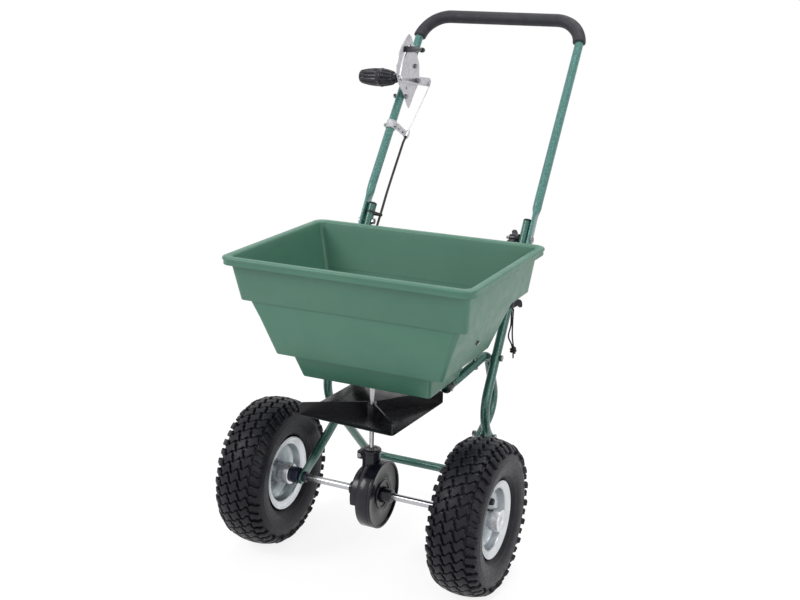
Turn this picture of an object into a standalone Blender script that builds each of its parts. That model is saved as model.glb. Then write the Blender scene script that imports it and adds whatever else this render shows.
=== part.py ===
"""Walk-behind broadcast spreader with pneumatic wheels, built as separate named pieces.

Units are metres and +Z is up. +Y points to the rear, towards the handle. Left and right are those of
a person who pushes it, so left is +X. Positions below are counted from the ground under the axle,
and the empty "machine" then centres the whole object on the origin.
"""
import math

import bmesh
import bpy
from mathutils import Matrix, Vector

# Wheels and axle
WHEEL_RADIUS = 0.130
TYRE_WIDTH = 0.088
TRACK = 0.391
RIM_FLANGE_RADIUS = 0.0645
RIM_HALF_WIDTH = 0.030
BEAD_RADIUS = 0.0525
HUB_RADIUS = 0.0150
HUB_HALF_LENGTH = 0.0400
AXLE_RADIUS = 0.0060
AXLE_LEFT = 0.2340
AXLE_RIGHT = -0.2440
SHEET = 0.0020
WHEEL_SIDES = 24
VALVE_HEIGHT = 0.0300
BUSH_RADIUS = 0.0085
DRIVE_PIN_RADIUS = 0.0025
DRIVE_PIN_X = TRACK / 2 + 0.0260
RETAINER_X = TRACK / 2 + HUB_HALF_LENGTH + 0.0040
# Frame tubes
TUBE_RADIUS = 0.0080
FRAME_X = 0.1525
FRAME_TOP = (0.2980, 0.5570)
FRAME_BOW = (0.1073, 0.2499)
FRAME_STAND = (0.2970, 0.0570)
STRUT_X = FRAME_X - 2 * TUBE_RADIUS - 0.0003
STRUT_FRONT_X = 0.1085
LOWER_CROSSING = (0.1503, 0.2062)
UPPER_CROSSING = (0.1667, 0.3454)
# Handle
HANDLE_X = 0.1610
KNEE = (0.3182, 0.5900)
HANDLE_TOP = (0.5410, 0.8900)
HANDLE_FLAT_THICKNESS = 0.0060
HANDLE_FLAT_X = FRAME_X + TUBE_RADIUS + HANDLE_FLAT_THICKNESS / 2 + 0.0003
HANDLE_BOLTS = ((0.2810, 0.5300), (0.2660, 0.5058))
GRIP_RADIUS = 0.0120
GRIP_LOW = 0.8500
# Hopper: height, half width, front, rear and corner radius of its outside at each level
RIM_TOP = 0.5406
RIM_SKIRT = 0.0150
RIM_HALF_WIDTH_X = 0.2203
RIM_FRONT = -0.1183
RIM_REAR = 0.2117
RIM_CORNER = 0.0300
HOPPER_WALL = 0.0030
HOPPER_TIERS = (
    ((0.5250, 0.2090, -0.1060, 0.1990, 0.026), (0.4640, 0.1995, -0.0875, 0.1870, 0.024)),
    ((0.4640, 0.1850, -0.0800, 0.1730, 0.023), (0.3710, 0.1500, -0.0600, 0.1400, 0.022)),
    ((0.3710, 0.1260, -0.0480, 0.1190, 0.018), (0.3280, 0.1165, -0.0290, 0.0930, 0.018)),
)
SIDE_BOLT = (0.0482, 0.4074)
# Axle struts: they end under the hopper floor and flatten round the axle
STRUT_FRONT_Y = 0.0600
STRUT_FRONT_Z = HOPPER_TIERS[-1][1][0] - 0.0098
STRUT_END_THICKNESS = 0.0050
STRUT_END_X = 0.1335
STRUT_LOW = Vector((STRUT_FRONT_X, 0.0900, STRUT_FRONT_Z))
STRUT_BEND = Vector((STRUT_X, 0.1692, 0.3510))
# Gearbox
DRUM_RADIUS = 0.0580
DRUM_LEFT = 0.0250
DRUM_RIGHT = -0.0020
GEAR_HOUSING_RADIUS = 0.0450
GEAR_HOUSING_RIGHT = -0.0200
CASE_WALL = 0.0025
NECK_RADIUS = 0.0140
NECK_TOP = 0.2040
NECK_BORE = 0.0105
CROWN_TEETH = 40
PINION_TEETH = 10
CROWN_PITCH_RADIUS = 0.0370
PINION_PITCH_RADIUS = CROWN_PITCH_RADIUS * PINION_TEETH / CROWN_TEETH
# Impeller and its shaft
SHAFT_RADIUS = 0.0040
SHAFT_TOP = 0.3720
AGITATOR_Z = 0.3600
IMPELLER_CORNER = 0.1200
IMPELLER_TURN = math.radians(-7.5)
IMPELLER_TIP_Z = 0.2830
IMPELLER_CENTRE_Z = 0.2710
VANE_TOP_Z = 0.2985
# Gate under the hopper floor
GATE_TRAVEL = 0.0320
GATE_THICKNESS = 0.0020
GATE_FRONT = 0.0070
GATE_REAR = 0.0880
GATE_HALF_WIDTH = 0.0580
OUTLET_Y = (0.0150, 0.0400)
OUTLET_X = (0.0120, 0.0440)
GUIDE_REAR = 0.0950
GUIDE_PEG_X = 0.0650
GUIDE_PEGS_Y = (0.0150, 0.0820)
CABLE_STOP_Y = 0.1460
WIRE_END_Z = 0.3110
# Flow lever on the right handle tube
PLATE_X = -(HANDLE_X - TUBE_RADIUS)
PLATE_THICKNESS = 0.0020
LEVER_PIVOT = (0.4774, 0.7704)
LEVER_REACH = 0.0745
LEVER_REST = math.radians(172.0)
LEVER_TAIL = 0.0580
STOP_ANGLE = math.radians(122.5)
PLATE_BOLT_HEIGHTS = (0.7985, 0.7440)
KNOB_LENGTH = 0.0780
KNOB_RADIUS = 0.0178
WIRE_RADIUS = 0.0009
SHEATH_RADIUS = 0.0026
SHEATH_TOP = (-0.1420, 0.4155, 0.6690)
# Clearance between pieces that touch on the real machine
GAP = 0.0003
SIDES = (("left", 1), ("right", -1))

AXLE = Vector((0.0, 0.0, WHEEL_RADIUS))
SHAFT = Vector((0.0, 0.0, IMPELLER_CENTRE_Z))
PIVOT = Vector((PLATE_X, LEVER_PIVOT[0], LEVER_PIVOT[1]))
FRAME_CENTRE_Y = 0.2112

COLOURS = {
    "hammertone_green": ((0.055, 0.170, 0.135), 0.35, 0.55),
    "hopper_green": ((0.095, 0.205, 0.140), 0.45, 0.0),
    "zinc": ((0.62, 0.63, 0.65), 0.30, 0.95),
    "polished_steel": ((0.72, 0.72, 0.74), 0.18, 1.0),
    "black_plastic": ((0.012, 0.012, 0.014), 0.40, 0.0),
    "black_foam": ((0.030, 0.030, 0.038), 0.70, 0.0),
    "tyre_rubber": ((0.020, 0.020, 0.021), 0.80, 0.0),
    "black_rubber": ((0.015, 0.015, 0.016), 0.65, 0.0),
    "gear_nylon": ((0.75, 0.73, 0.66), 0.50, 0.0),
    "black_cord": ((0.010, 0.010, 0.011), 0.85, 0.0),
}


def clear_scene():
    for obj in list(bpy.data.objects):
        bpy.data.objects.remove(obj)


def material(slot):
    found = bpy.data.materials.get(slot)
    if found:
        return found
    colour, roughness, metallic = COLOURS[slot]
    made = bpy.data.materials.new(slot)
    made.use_nodes = True
    shader = made.node_tree.nodes["Principled BSDF"]
    shader.inputs["Base Color"].default_value = (*colour, 1.0)
    shader.inputs["Roughness"].default_value = roughness
    shader.inputs["Metallic"].default_value = metallic
    return made


def add_piece(name, bm, slot, origin=(0, 0, 0), smooth_angle=35.0):
    """Turns a bmesh in machine coordinates into an object whose origin is on its joint axis."""
    bmesh.ops.recalc_face_normals(bm, faces=bm.faces)
    bmesh.ops.translate(bm, vec=-Vector(origin), verts=bm.verts)
    mesh = bpy.data.meshes.new(name)
    bm.to_mesh(mesh)
    bm.free()
    mesh.shade_smooth()
    mesh.set_sharp_from_angle(angle=math.radians(smooth_angle))
    mesh.materials.append(material(slot))
    obj = bpy.data.objects.new(name, mesh)
    bpy.context.collection.objects.link(obj)
    obj.location = origin
    obj.parent = bpy.data.objects["machine"]
    return obj


def add_cutter(name, bm):
    cutter = add_piece(name, bm, "zinc")
    cutter.hide_render = True
    cutter.display_type = "WIRE"
    return cutter


def cut(obj, *cutters):
    for cutter in cutters:
        modifier = obj.modifiers.new(cutter.name, "BOOLEAN")
        modifier.operation = "DIFFERENCE"
        modifier.solver = "EXACT"
        modifier.object = cutter
    return obj


def join_solids(obj, *others):
    for other in others:
        modifier = obj.modifiers.new(other.name, "BOOLEAN")
        modifier.operation = "UNION"
        modifier.solver = "EXACT"
        modifier.object = other
    return obj


def skin_rings(bm, rings, closed=False, capped=True):
    """Bridges rings of equal count into a tube, with flat caps unless it closes on itself."""
    made = [[bm.verts.new(point) for point in ring] for ring in rings]
    count = len(made[0])
    pairs = list(zip(made, made[1:]))
    if closed:
        pairs.append((made[-1], made[0]))
    for low, high in pairs:
        for i in range(count):
            j = (i + 1) % count
            bm.faces.new((low[i], low[j], high[j], high[i]))
    if capped and not closed:
        bm.faces.new(list(reversed(made[0])))
        bm.faces.new(made[-1])
    return made


def across(direction):
    """Two unit vectors square to a direction, the first as near to +X as it goes."""
    direction = Vector(direction).normalized()
    side = Vector((1, 0, 0)) - direction * direction.x
    if side.length < 0.2:
        side = Vector((0, 1, 0)) - direction * direction.y
    side.normalize()
    return side, direction.cross(side)


def strut_bolt_lines():
    """Where the front and rear bolts cross the left strut, and the way that each one points."""
    front = Vector((STRUT_FRONT_X, 0.0755, STRUT_FRONT_Z)), Vector((0.0, 0.0, 1.0))
    rear = STRUT_LOW.lerp(STRUT_BEND, 0.62), -across(STRUT_BEND - STRUT_LOW)[1]
    return front, rear


def ring_at(centre, direction, radius, count=16, start=0.0):
    side, other = across(direction)
    angles = [start + 2 * math.pi * i / count for i in range(count)]
    return [Vector(centre) + radius * (math.cos(a) * side + math.sin(a) * other) for a in angles]


def hexagon_at(centre, direction, flats_radius):
    """Six corners whose flats are at a distance from the centre, turned to match a ring of twelve."""
    return ring_at(centre, direction, flats_radius / math.cos(math.pi / 6), 6)


def bridge_to_double(bm, few, many, flip):
    """Triangles from a ring of n corners to a ring of 2n round the same start."""
    count = len(few)
    for i in range(count):
        before, at, after = many[2 * i - 1], many[2 * i], many[2 * i + 1]
        for face in ((few[i], before, at), (few[i], at, after), (few[i], after, few[(i + 1) % count])):
            bm.faces.new(tuple(reversed(face)) if flip else face)


def add_rod(bm, start, end, radius, count=12):
    start, end = Vector(start), Vector(end)
    direction = end - start
    skin_rings(bm, [ring_at(start, direction, radius, count), ring_at(end, direction, radius, count)])


def add_turned(bm, profile, start, direction, count=24):
    """A solid of revolution from (distance along, radius) pairs, open or closed at its axis."""
    direction = Vector(direction).normalized()
    rings = [ring_at(Vector(start) + direction * along, direction, radius, count) for along,
             radius in profile]
    skin_rings(bm, rings)


def add_turned_ring(bm, profile, start, direction, count=48):
    """A ring-shaped solid of revolution, whose closed profile never meets the axis."""
    direction = Vector(direction).normalized()
    rings = [ring_at(Vector(start) + direction * along, direction, radius, count) for along,
             radius in profile]
    skin_rings(bm, rings, closed=True)


def add_bolt(bm, head_at, nut_at, radius=0.0030, head=0.0050, head_height=0.0040, nut=0.0050,
             nut_height=0.0050):
    """A hexagon bolt with its nut run up. head_at and nut_at are the two faces it clamps."""
    head_at, nut_at = Vector(head_at), Vector(nut_at)
    direction = (nut_at - head_at).normalized()
    outlines = (hexagon_at(head_at - direction * head_height, direction, head),
                hexagon_at(head_at, direction, head),
                ring_at(head_at, direction, radius, 12), ring_at(nut_at, direction, radius, 12),
                hexagon_at(nut_at, direction, nut), hexagon_at(nut_at + direction * nut_height, direction,
                                                               nut))
    head_top, head_low, shank_low, shank_high, nut_low, nut_top = [[bm.verts.new(point) for point in ring]
                                                                  for ring in outlines]
    bm.faces.new(list(reversed(head_top)))
    bm.faces.new(nut_top)
    for low, high in ((head_top, head_low), (shank_low, shank_high), (nut_low, nut_top)):
        for i in range(len(low)):
            j = (i + 1) % len(low)
            bm.faces.new((low[i], low[j], high[j], high[i]))
    bridge_to_double(bm, head_low, shank_low, True)
    bridge_to_double(bm, nut_low, shank_high, False)


def rounded_path(corners, radii, step_degrees=18.0):
    """Points along a polyline whose inner corners are arcs of the given radii."""
    corners = [Vector(c) for c in corners]
    points = [corners[0]]
    for i, radius in enumerate(radii, start=1):
        corner = corners[i]
        back = (corners[i - 1] - corner).normalized()
        ahead = (corners[i + 1] - corner).normalized()
        turn = math.pi - back.angle(ahead)
        tangent = radius * math.tan(turn / 2)
        bisector = (back + ahead).normalized()
        centre = corner + bisector * (radius / math.cos(turn / 2))
        first = corner + back * tangent - centre
        axis = first.cross(corner + ahead * tangent - centre).normalized()
        steps = max(2, round(math.degrees(turn) / step_degrees))
        for k in range(steps + 1):
            points.append(centre + Matrix.Rotation(turn * k / steps, 3, axis) @ first)
    points.append(corners[-1])
    return points


def split_run(points, index, distances):
    """Adds points on the run that starts at an index, at distances from its start."""
    start, end = points[index], points[index + 1]
    direction = (end - start).normalized()
    return points[:index + 1] + [start + direction * d for d in distances] + points[index + 1:]


def path_frames(points, first_side, keep_side=False):
    """Carries a side vector along a path with the least twist, or keeps it where keep_side is set."""
    frames = []
    side = Vector(first_side)
    for i, point in enumerate(points):
        before = point - points[i - 1] if i else points[1] - point
        after = points[i + 1] - point if i < len(points) - 1 else before
        tangent = (before.normalized() + after.normalized()).normalized()
        side = Vector(first_side) if keep_side else side
        side = (side - tangent * side.dot(tangent)).normalized()
        frames.append((point, tangent, side, tangent.cross(side)))
    return frames


def oval_ring(frame, half_side, half_other, count, squareness=1.0):
    point, _, side, other = frame
    ring = []
    for i in range(count):
        angle = 2 * math.pi * i / count
        c, s = math.cos(angle), math.sin(angle)
        c = math.copysign(abs(c) ** squareness, c)
        s = math.copysign(abs(s) ** squareness, s)
        ring.append(point + side * half_side * c + other * half_other * s)
    return ring


def sweep_tube(bm, points, radius, count=8, first_side=(1, 0, 0), shape=None, keep_side=False):
    """Sweeps a round section along a path. shape maps a path index to its two half widths."""
    frames = path_frames(points, first_side, keep_side)
    rings = []
    for i, frame in enumerate(frames):
        half_side, half_other = shape.get(i, (radius, radius)) if shape else (radius, radius)
        rings.append(oval_ring(frame, half_side, half_other, count, 0.6 if half_side < radius else 1.0))
    skin_rings(bm, rings)
    return rings


def sweep_sleeve(bm, points, inner, outer, count=8, first_side=(1, 0, 0)):
    """A hollow sleeve along a path, open at both ends."""
    frames = path_frames(points, first_side)
    rings = [oval_ring(frame, outer, outer, count) for frame in frames]
    rings += [oval_ring(frame, inner, inner, count) for frame in reversed(frames)]
    skin_rings(bm, rings, closed=True)


def rounded_rectangle(half_width, front, rear, radius, z, steps=3):
    """Points anticlockwise round a rectangle about x = 0 with rounded corners."""
    centres = (
        (half_width - radius, rear - radius, 0), (-half_width + radius, rear - radius, 90),
        (-half_width + radius, front + radius, 180), (half_width - radius, front + radius, 270),
    )
    points = []
    for x, y, start in centres:
        for k in range(steps + 1):
            angle = math.radians(start + 90 * k / steps)
            points.append(Vector((x + radius * math.cos(angle), y + radius * math.sin(angle), z)))
    return points


def add_slab(bm, outline, offset):
    """Extrudes a flat outline by an offset."""
    outline = [Vector(p) for p in outline]
    skin_rings(bm, [outline, [p + Vector(offset) for p in outline]])


def x_rod(y, z, radius, half_length=0.25, middle=0.0):
    bm = bmesh.new()
    add_rod(bm, (middle - half_length, y, z), (middle + half_length, y, z), radius)
    return bm


def z_rod(x, y, low, high, radius):
    bm = bmesh.new()
    add_rod(bm, (x, y, low), (x, y, high), radius)
    return bm


def on_side(side, flat, x):
    return Vector((side * x, flat[0], flat[1]))


# Shared cutters for the bolts that run sideways through the frame and handle tubes
def frame_bolt_cutters():
    radius = 0.0030 + GAP
    places = {"upper_crossing": UPPER_CROSSING, "lower_crossing": LOWER_CROSSING,
              "upper_handle": HANDLE_BOLTS[0], "lower_handle": HANDLE_BOLTS[1]}
    return {name: add_cutter(f"cut_{name}", x_rod(y, z, radius)) for name, (y, z) in places.items()}


def build_frame(cutters):
    corners = [on_side(1, FRAME_TOP, FRAME_X), on_side(1, FRAME_BOW, FRAME_X),
               on_side(1, FRAME_STAND, FRAME_X),
               on_side(-1, FRAME_STAND, FRAME_X), on_side(-1, FRAME_BOW, FRAME_X),
               on_side(-1, FRAME_TOP, FRAME_X)]
    bm = bmesh.new()
    sweep_tube(bm, rounded_path(corners, (0.065, 0.038, 0.038, 0.065)), TUBE_RADIUS)
    cut(add_piece("frame_tube", bm, "hammertone_green"), *cutters.values())

    for name, side in SIDES:
        build_strut(name, side, cutters)

    for name, side in SIDES:
        top, bow = on_side(side, FRAME_TOP, FRAME_X), on_side(side, FRAME_BOW, FRAME_X)
        plug = bmesh.new()
        profile = ((GAP, TUBE_RADIUS), (0.0030, TUBE_RADIUS), (0.0045, TUBE_RADIUS * 0.75))
        add_turned(plug, profile, top, top - bow, 12)
        add_piece(f"tube_plug_{name}", plug, "black_plastic")


def build_strut(name, side, cutters):
    """The axle strut: under the hopper, down behind the frame tube and forward to the axle."""
    run = side * STRUT_X
    corners = [
        (side * STRUT_FRONT_X, STRUT_FRONT_Y, STRUT_FRONT_Z), mirrored(STRUT_LOW, side),
        mirrored(STRUT_BEND, side),
        (run, 0.2192, 0.2411), (side * STRUT_END_X, 0.0, WHEEL_RADIUS),
    ]
    points = rounded_path(corners, (0.030, 0.018, 0.045))
    last = len(points) - 1
    to_axle = points[last] - points[last - 1]
    flat_from = to_axle.length - 0.046
    points = split_run(points, last - 1, (flat_from, flat_from + 0.016))
    points.append(points[-1] + to_axle.normalized() * 0.0130)
    count = len(points)
    flat = (STRUT_END_THICKNESS / 2, 0.0115)
    shape = {count - 3: flat, count - 2: flat, count - 1: flat}
    bm = bmesh.new()
    sweep_tube(bm, points, TUBE_RADIUS, shape=shape, keep_side=True)
    strut = add_piece(f"axle_strut_{name}", bm, "hammertone_green")
    cut(strut, cutters["upper_crossing"], cutters["lower_crossing"])
    bush_hole = x_rod(0.0, WHEEL_RADIUS, BUSH_RADIUS + GAP, 0.012, side * STRUT_END_X)
    cut(strut, add_cutter(f"cut_strut_bush_{name}", bush_hole))
    for i, (place, direction) in enumerate(strut_bolt_lines()):
        place, direction = mirrored(place, side), mirrored(direction, side).normalized()
        hole = bmesh.new()
        add_rod(hole, place - direction * 0.02, place + direction * 0.02, 0.0025 + GAP)
        cut(strut, add_cutter(f"cut_strut_floor_{name}_{i}", hole))

    cap = bmesh.new()
    outside = ((-0.0080, 0.0070), (-0.0065, 0.0095), (0.0090, 0.0095))
    inside = ((0.0090, TUBE_RADIUS + 0.0006), (-GAP, TUBE_RADIUS + 0.0006))
    start = Vector((side * STRUT_FRONT_X, STRUT_FRONT_Y, STRUT_FRONT_Z))
    rings = [ring_at(start + Vector((0, along, 0)), (0, 1, 0), radius, 12) for along,
             radius in outside + inside]
    skin_rings(cap, rings)
    add_piece(f"strut_cap_{name}", cap, "black_plastic")


def mirrored(point, side):
    return Vector((point[0] * side, point[1], point[2]))


def build_frame_bolts():
    for name, side in SIDES:
        for level, place in (("upper", UPPER_CROSSING), ("lower", LOWER_CROSSING)):
            bolt = bmesh.new()
            head = on_side(side, place, FRAME_X + TUBE_RADIUS + GAP)
            inboard = 0.0058 if level == "upper" else 0.0014
            nut = on_side(side, place, STRUT_X - TUBE_RADIUS - inboard)
            add_bolt(bolt, head, nut)
            add_piece(f"crossing_bolt_{level}_{name}", bolt, "zinc")

    floor_top = HOPPER_TIERS[-1][1][0] + HOPPER_WALL
    ledge_top = HOPPER_TIERS[1][1][0] + HOPPER_WALL
    small = {"radius": 0.0025, "head": 0.0040, "head_height": 0.0030, "nut": 0.0040, "nut_height": 0.0032}
    for name, side in SIDES:
        front, rear = strut_bolt_lines()
        bolts = (("front", front, floor_top + GAP), ("rear", rear, ledge_top + 0.0022))
        for level, (place, direction), top in bolts:
            place, direction = mirrored(place, side), mirrored(direction, side).normalized()
            below = place - direction * (TUBE_RADIUS + GAP)
            above = place + direction * ((top - place.z) / direction.z)
            bolt = bmesh.new()
            add_bolt(bolt, below, above, **small)
            add_piece(f"hopper_bolt_{level}_{name}", bolt, "zinc")
    centre, direction = side_bolt_line(1)
    bolt = bmesh.new()
    add_bolt(bolt, centre + direction * GAP, centre - direction * (HOPPER_WALL * 1.3 + GAP), **small)
    add_piece("hopper_bolt_side", bolt, "zinc")


def build_handle(cutters):
    low = HANDLE_BOLTS[1]
    high = HANDLE_BOLTS[0]
    slope = (high[0] - low[0]) / (high[1] - low[1])
    foot = (low[0] - 0.010 * slope, low[1] - 0.010)
    knee = KNEE
    corners = [on_side(1, foot, HANDLE_FLAT_X), on_side(1, knee, HANDLE_FLAT_X),
               on_side(1, HANDLE_TOP, HANDLE_X),
               on_side(-1, HANDLE_TOP, HANDLE_X), on_side(-1, knee, HANDLE_FLAT_X),
               on_side(-1, foot, HANDLE_FLAT_X)]
    path = rounded_path(corners, (0.060, 0.055, 0.055, 0.060))
    run = (knee[1] - foot[1]) * math.hypot(1.0, slope)
    flat_length, blend_length = run - 0.028, 0.014
    path = split_run(path, 0, (flat_length, flat_length + blend_length))
    back = (path[-2] - path[-1]).length
    path = split_run(path, len(path) - 2, (back - flat_length - blend_length, back - flat_length))
    flat = (HANDLE_FLAT_THICKNESS / 2, 0.0112)
    last = len(path) - 1
    shape = {0: flat, 1: flat, last - 1: flat, last: flat}
    bm = bmesh.new()
    sweep_tube(bm, path, TUBE_RADIUS, shape=shape)
    handle = add_piece("handle_tube", bm, "hammertone_green")
    cut(handle, cutters["upper_handle"], cutters["lower_handle"])

    grip_path = [p for p in path if p.z > GRIP_LOW]
    start = grip_path[0] + (Vector(path[path.index(grip_path[0]) - 1]) - grip_path[0]).normalized() * 0.010
    end = start.copy()
    end.x = -end.x
    sleeve = bmesh.new()
    sweep_sleeve(sleeve, [start] + grip_path + [end], TUBE_RADIUS + GAP, GRIP_RADIUS)
    add_piece("handle_grip", sleeve, "black_foam")

    outer = HANDLE_FLAT_X + HANDLE_FLAT_THICKNESS / 2 + GAP
    inner = FRAME_X - TUBE_RADIUS - GAP
    for level, name, side in (("upper", "right", -1), ("lower", "left", 1), ("lower", "right", -1)):
        place = HANDLE_BOLTS[0] if level == "upper" else HANDLE_BOLTS[1]
        bolt = bmesh.new()
        add_bolt(bolt, on_side(side, place, outer), on_side(side, place, inner))
        add_piece(f"handle_bolt_{level}_{name}", bolt, "zinc")
    build_wing_knob(outer, inner)


def build_wing_knob(outer, inner):
    """The hand knob of the upper left handle bolt, with the carriage bolt that it turns on."""
    place = HANDLE_BOLTS[0]
    head = on_side(1, place, outer)
    bm = bmesh.new()
    dome = ((0.0, 0.0030), (0.0012, 0.0055), (0.0030, 0.0072), (0.0038, 0.0076))
    for_head = [ring_at(head + Vector((0.0038 - a, 0, 0)), (-1, 0, 0), r, 12) for a, r in dome]
    shank = [ring_at(head, (-1, 0, 0), 0.0030, 12), ring_at(head - Vector((0.0460, 0, 0)), (-1, 0, 0),
                                                            0.0030, 12)]
    skin_rings(bm, for_head + shank)
    add_piece("handle_carriage_bolt", bm, "zinc")

    knob = bmesh.new()
    start = on_side(1, place, inner)
    barrel = ((0.0, 0.0080), (0.0100, 0.0080), (0.0150, 0.0065), (0.0170, 0.0065))
    outer_rings = [ring_at(start - Vector((a, 0, 0)), (-1, 0, 0), r, 12) for a, r in barrel]
    bore = [ring_at(start - Vector((a, 0, 0)), (-1, 0, 0), 0.0030 + GAP, 12) for a in (0.0170, 0.0)]
    skin_rings(knob, outer_rings + bore, closed=True)
    knob_object = add_piece("wing_knob", knob, "black_plastic", origin=start)
    wings = bmesh.new()
    for turn in (0, 180):
        spin = Matrix.Rotation(math.radians(turn + 25), 4, "X")
        outline = []
        for y, x in ((0.0055, 0.0035), (0.0140, 0.0070), (0.0205, 0.0120), (0.0205, 0.0170),
                     (0.0160, 0.0190),
                     (0.0055, 0.0150)):
            outline.append(start + Vector((-x, 0, 0)) + spin @ Vector((0, y, -0.0025)))
        add_slab(wings, outline, spin @ Vector((0, 0, 0.0050)))
    wing_object = add_cutter("knob_wings", wings)
    join_solids(knob_object, wing_object)


def build_hopper():
    """One moulded shell: rolled rim, three stepped tiers and a flat floor with its holes."""
    rings = []
    skirt_low = RIM_TOP - RIM_SKIRT

    def rim_ring(inset, z):
        return rounded_rectangle(RIM_HALF_WIDTH_X - inset, RIM_FRONT + inset, RIM_REAR - inset,
                                 RIM_CORNER - inset * 0.4, z)

    top, bottom = HOPPER_TIERS[0]
    rings.append(rim_ring(HOPPER_WALL * 0.8, skirt_low))
    rings.append(rim_ring(0.0, skirt_low))
    rings.append(rim_ring(0.0, RIM_TOP - 0.0040))
    rings.append(rim_ring(0.0012, RIM_TOP - 0.0012))
    rings.append(rim_ring(0.0040, RIM_TOP))
    rings.append(rim_ring(0.0105, RIM_TOP))
    rings.append(rim_ring(0.0135, RIM_TOP - 0.0015))
    wall = HOPPER_WALL
    outside = []
    inside = []
    for tier_top, tier_bottom in HOPPER_TIERS:
        for z, half_width, front, rear, corner in (tier_top, tier_bottom):
            outside.append(rounded_rectangle(half_width, front, rear, corner, z))
            inner_z = z if (z, half_width) == (top[0], top[1]) else z + wall
            inside.append(rounded_rectangle(half_width - wall, front + wall, rear - wall, corner - wall,
                                            inner_z))
    outside[0] = rounded_rectangle(top[1], top[2], top[3], top[4], RIM_TOP - wall)
    rings += inside[:]
    rings += list(reversed(outside))
    rings.append(rim_ring(HOPPER_WALL * 0.8, RIM_TOP - wall))
    bm = bmesh.new()
    made = [[bm.verts.new(point) for point in ring] for ring in rings]
    count = len(made[0])
    floor_index = 7 + len(inside) - 1
    for k in range(len(made)):
        if k == floor_index:
            continue
        low, high = made[k], made[(k + 1) % len(made)]
        for i in range(count):
            j = (i + 1) % count
            bm.faces.new((low[i], low[j], high[j], high[i]))
    bm.faces.new(made[floor_index])
    bm.faces.new(list(reversed(made[floor_index + 1])))
    hopper = add_piece("hopper", bm, "hopper_green", smooth_angle=50.0)

    floor_low, floor_high = HOPPER_TIERS[-1][1][0] - 0.005, HOPPER_TIERS[-1][1][0] + HOPPER_WALL + 0.005
    outlets = bmesh.new()
    for side in (-1, 1):
        add_outlet(outlets, side, floor_low, floor_high)
    cut(hopper, add_cutter("cut_hopper_outlets", outlets))
    holes = bmesh.new()
    add_rod(holes, (0, 0, floor_low), (0, 0, floor_high), SHAFT_RADIUS + 0.0008)
    for _, side in SIDES:
        for y in GUIDE_PEGS_Y:
            add_rod(holes, (side * GUIDE_PEG_X, y, floor_low), (side * GUIDE_PEG_X, y, floor_high), 0.0024,
                    8)
    for place, direction in strut_bolt_lines():
        for _, side in SIDES:
            middle, line = mirrored(place, side), mirrored(direction, side).normalized()
            add_rod(holes, middle, middle + line * 0.0600, 0.0029, 8)
    centre, direction = side_bolt_line(1)
    add_rod(holes, centre - direction * 0.02, centre + direction * 0.02, 0.0029, 8)
    cut(hopper, add_cutter("cut_hopper_holes", holes))


def side_bolt_line(side):
    """A point on the outside of the middle tier's side wall, and the wall's outward normal."""
    (z_top, x_top, *_), (z_low, x_low, *_) = HOPPER_TIERS[1]
    y, z = SIDE_BOLT
    x = x_low + (x_top - x_low) * (z - z_low) / (z_top - z_low)
    normal = Vector((side * (z_top - z_low), 0, x_low - x_top)).normalized()
    return Vector((side * x, y, z)), normal


def add_outlet(bm, side, low, high, shift=0.0, grow=0.0):
    x_in, x_out = OUTLET_X[0] - grow, OUTLET_X[1] + grow
    front, rear = OUTLET_Y[0] + shift - grow, OUTLET_Y[1] + shift + grow
    middle, half = (x_in + x_out) / 2, (x_out - x_in) / 2
    outline = [p + Vector((side * middle, 0, 0)) for p in rounded_rectangle(half, front, rear, 0.005, low,
                                                                            2)]
    add_slab(bm, outline, (0, 0, high - low))


def add_box(bm, low, high):
    outline = [(low[0], low[1], low[2]), (high[0], low[1], low[2]), (high[0], high[1], low[2]),
               (low[0], high[1], low[2])]
    add_slab(bm, outline, (0, 0, high[2] - low[2]))


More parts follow.
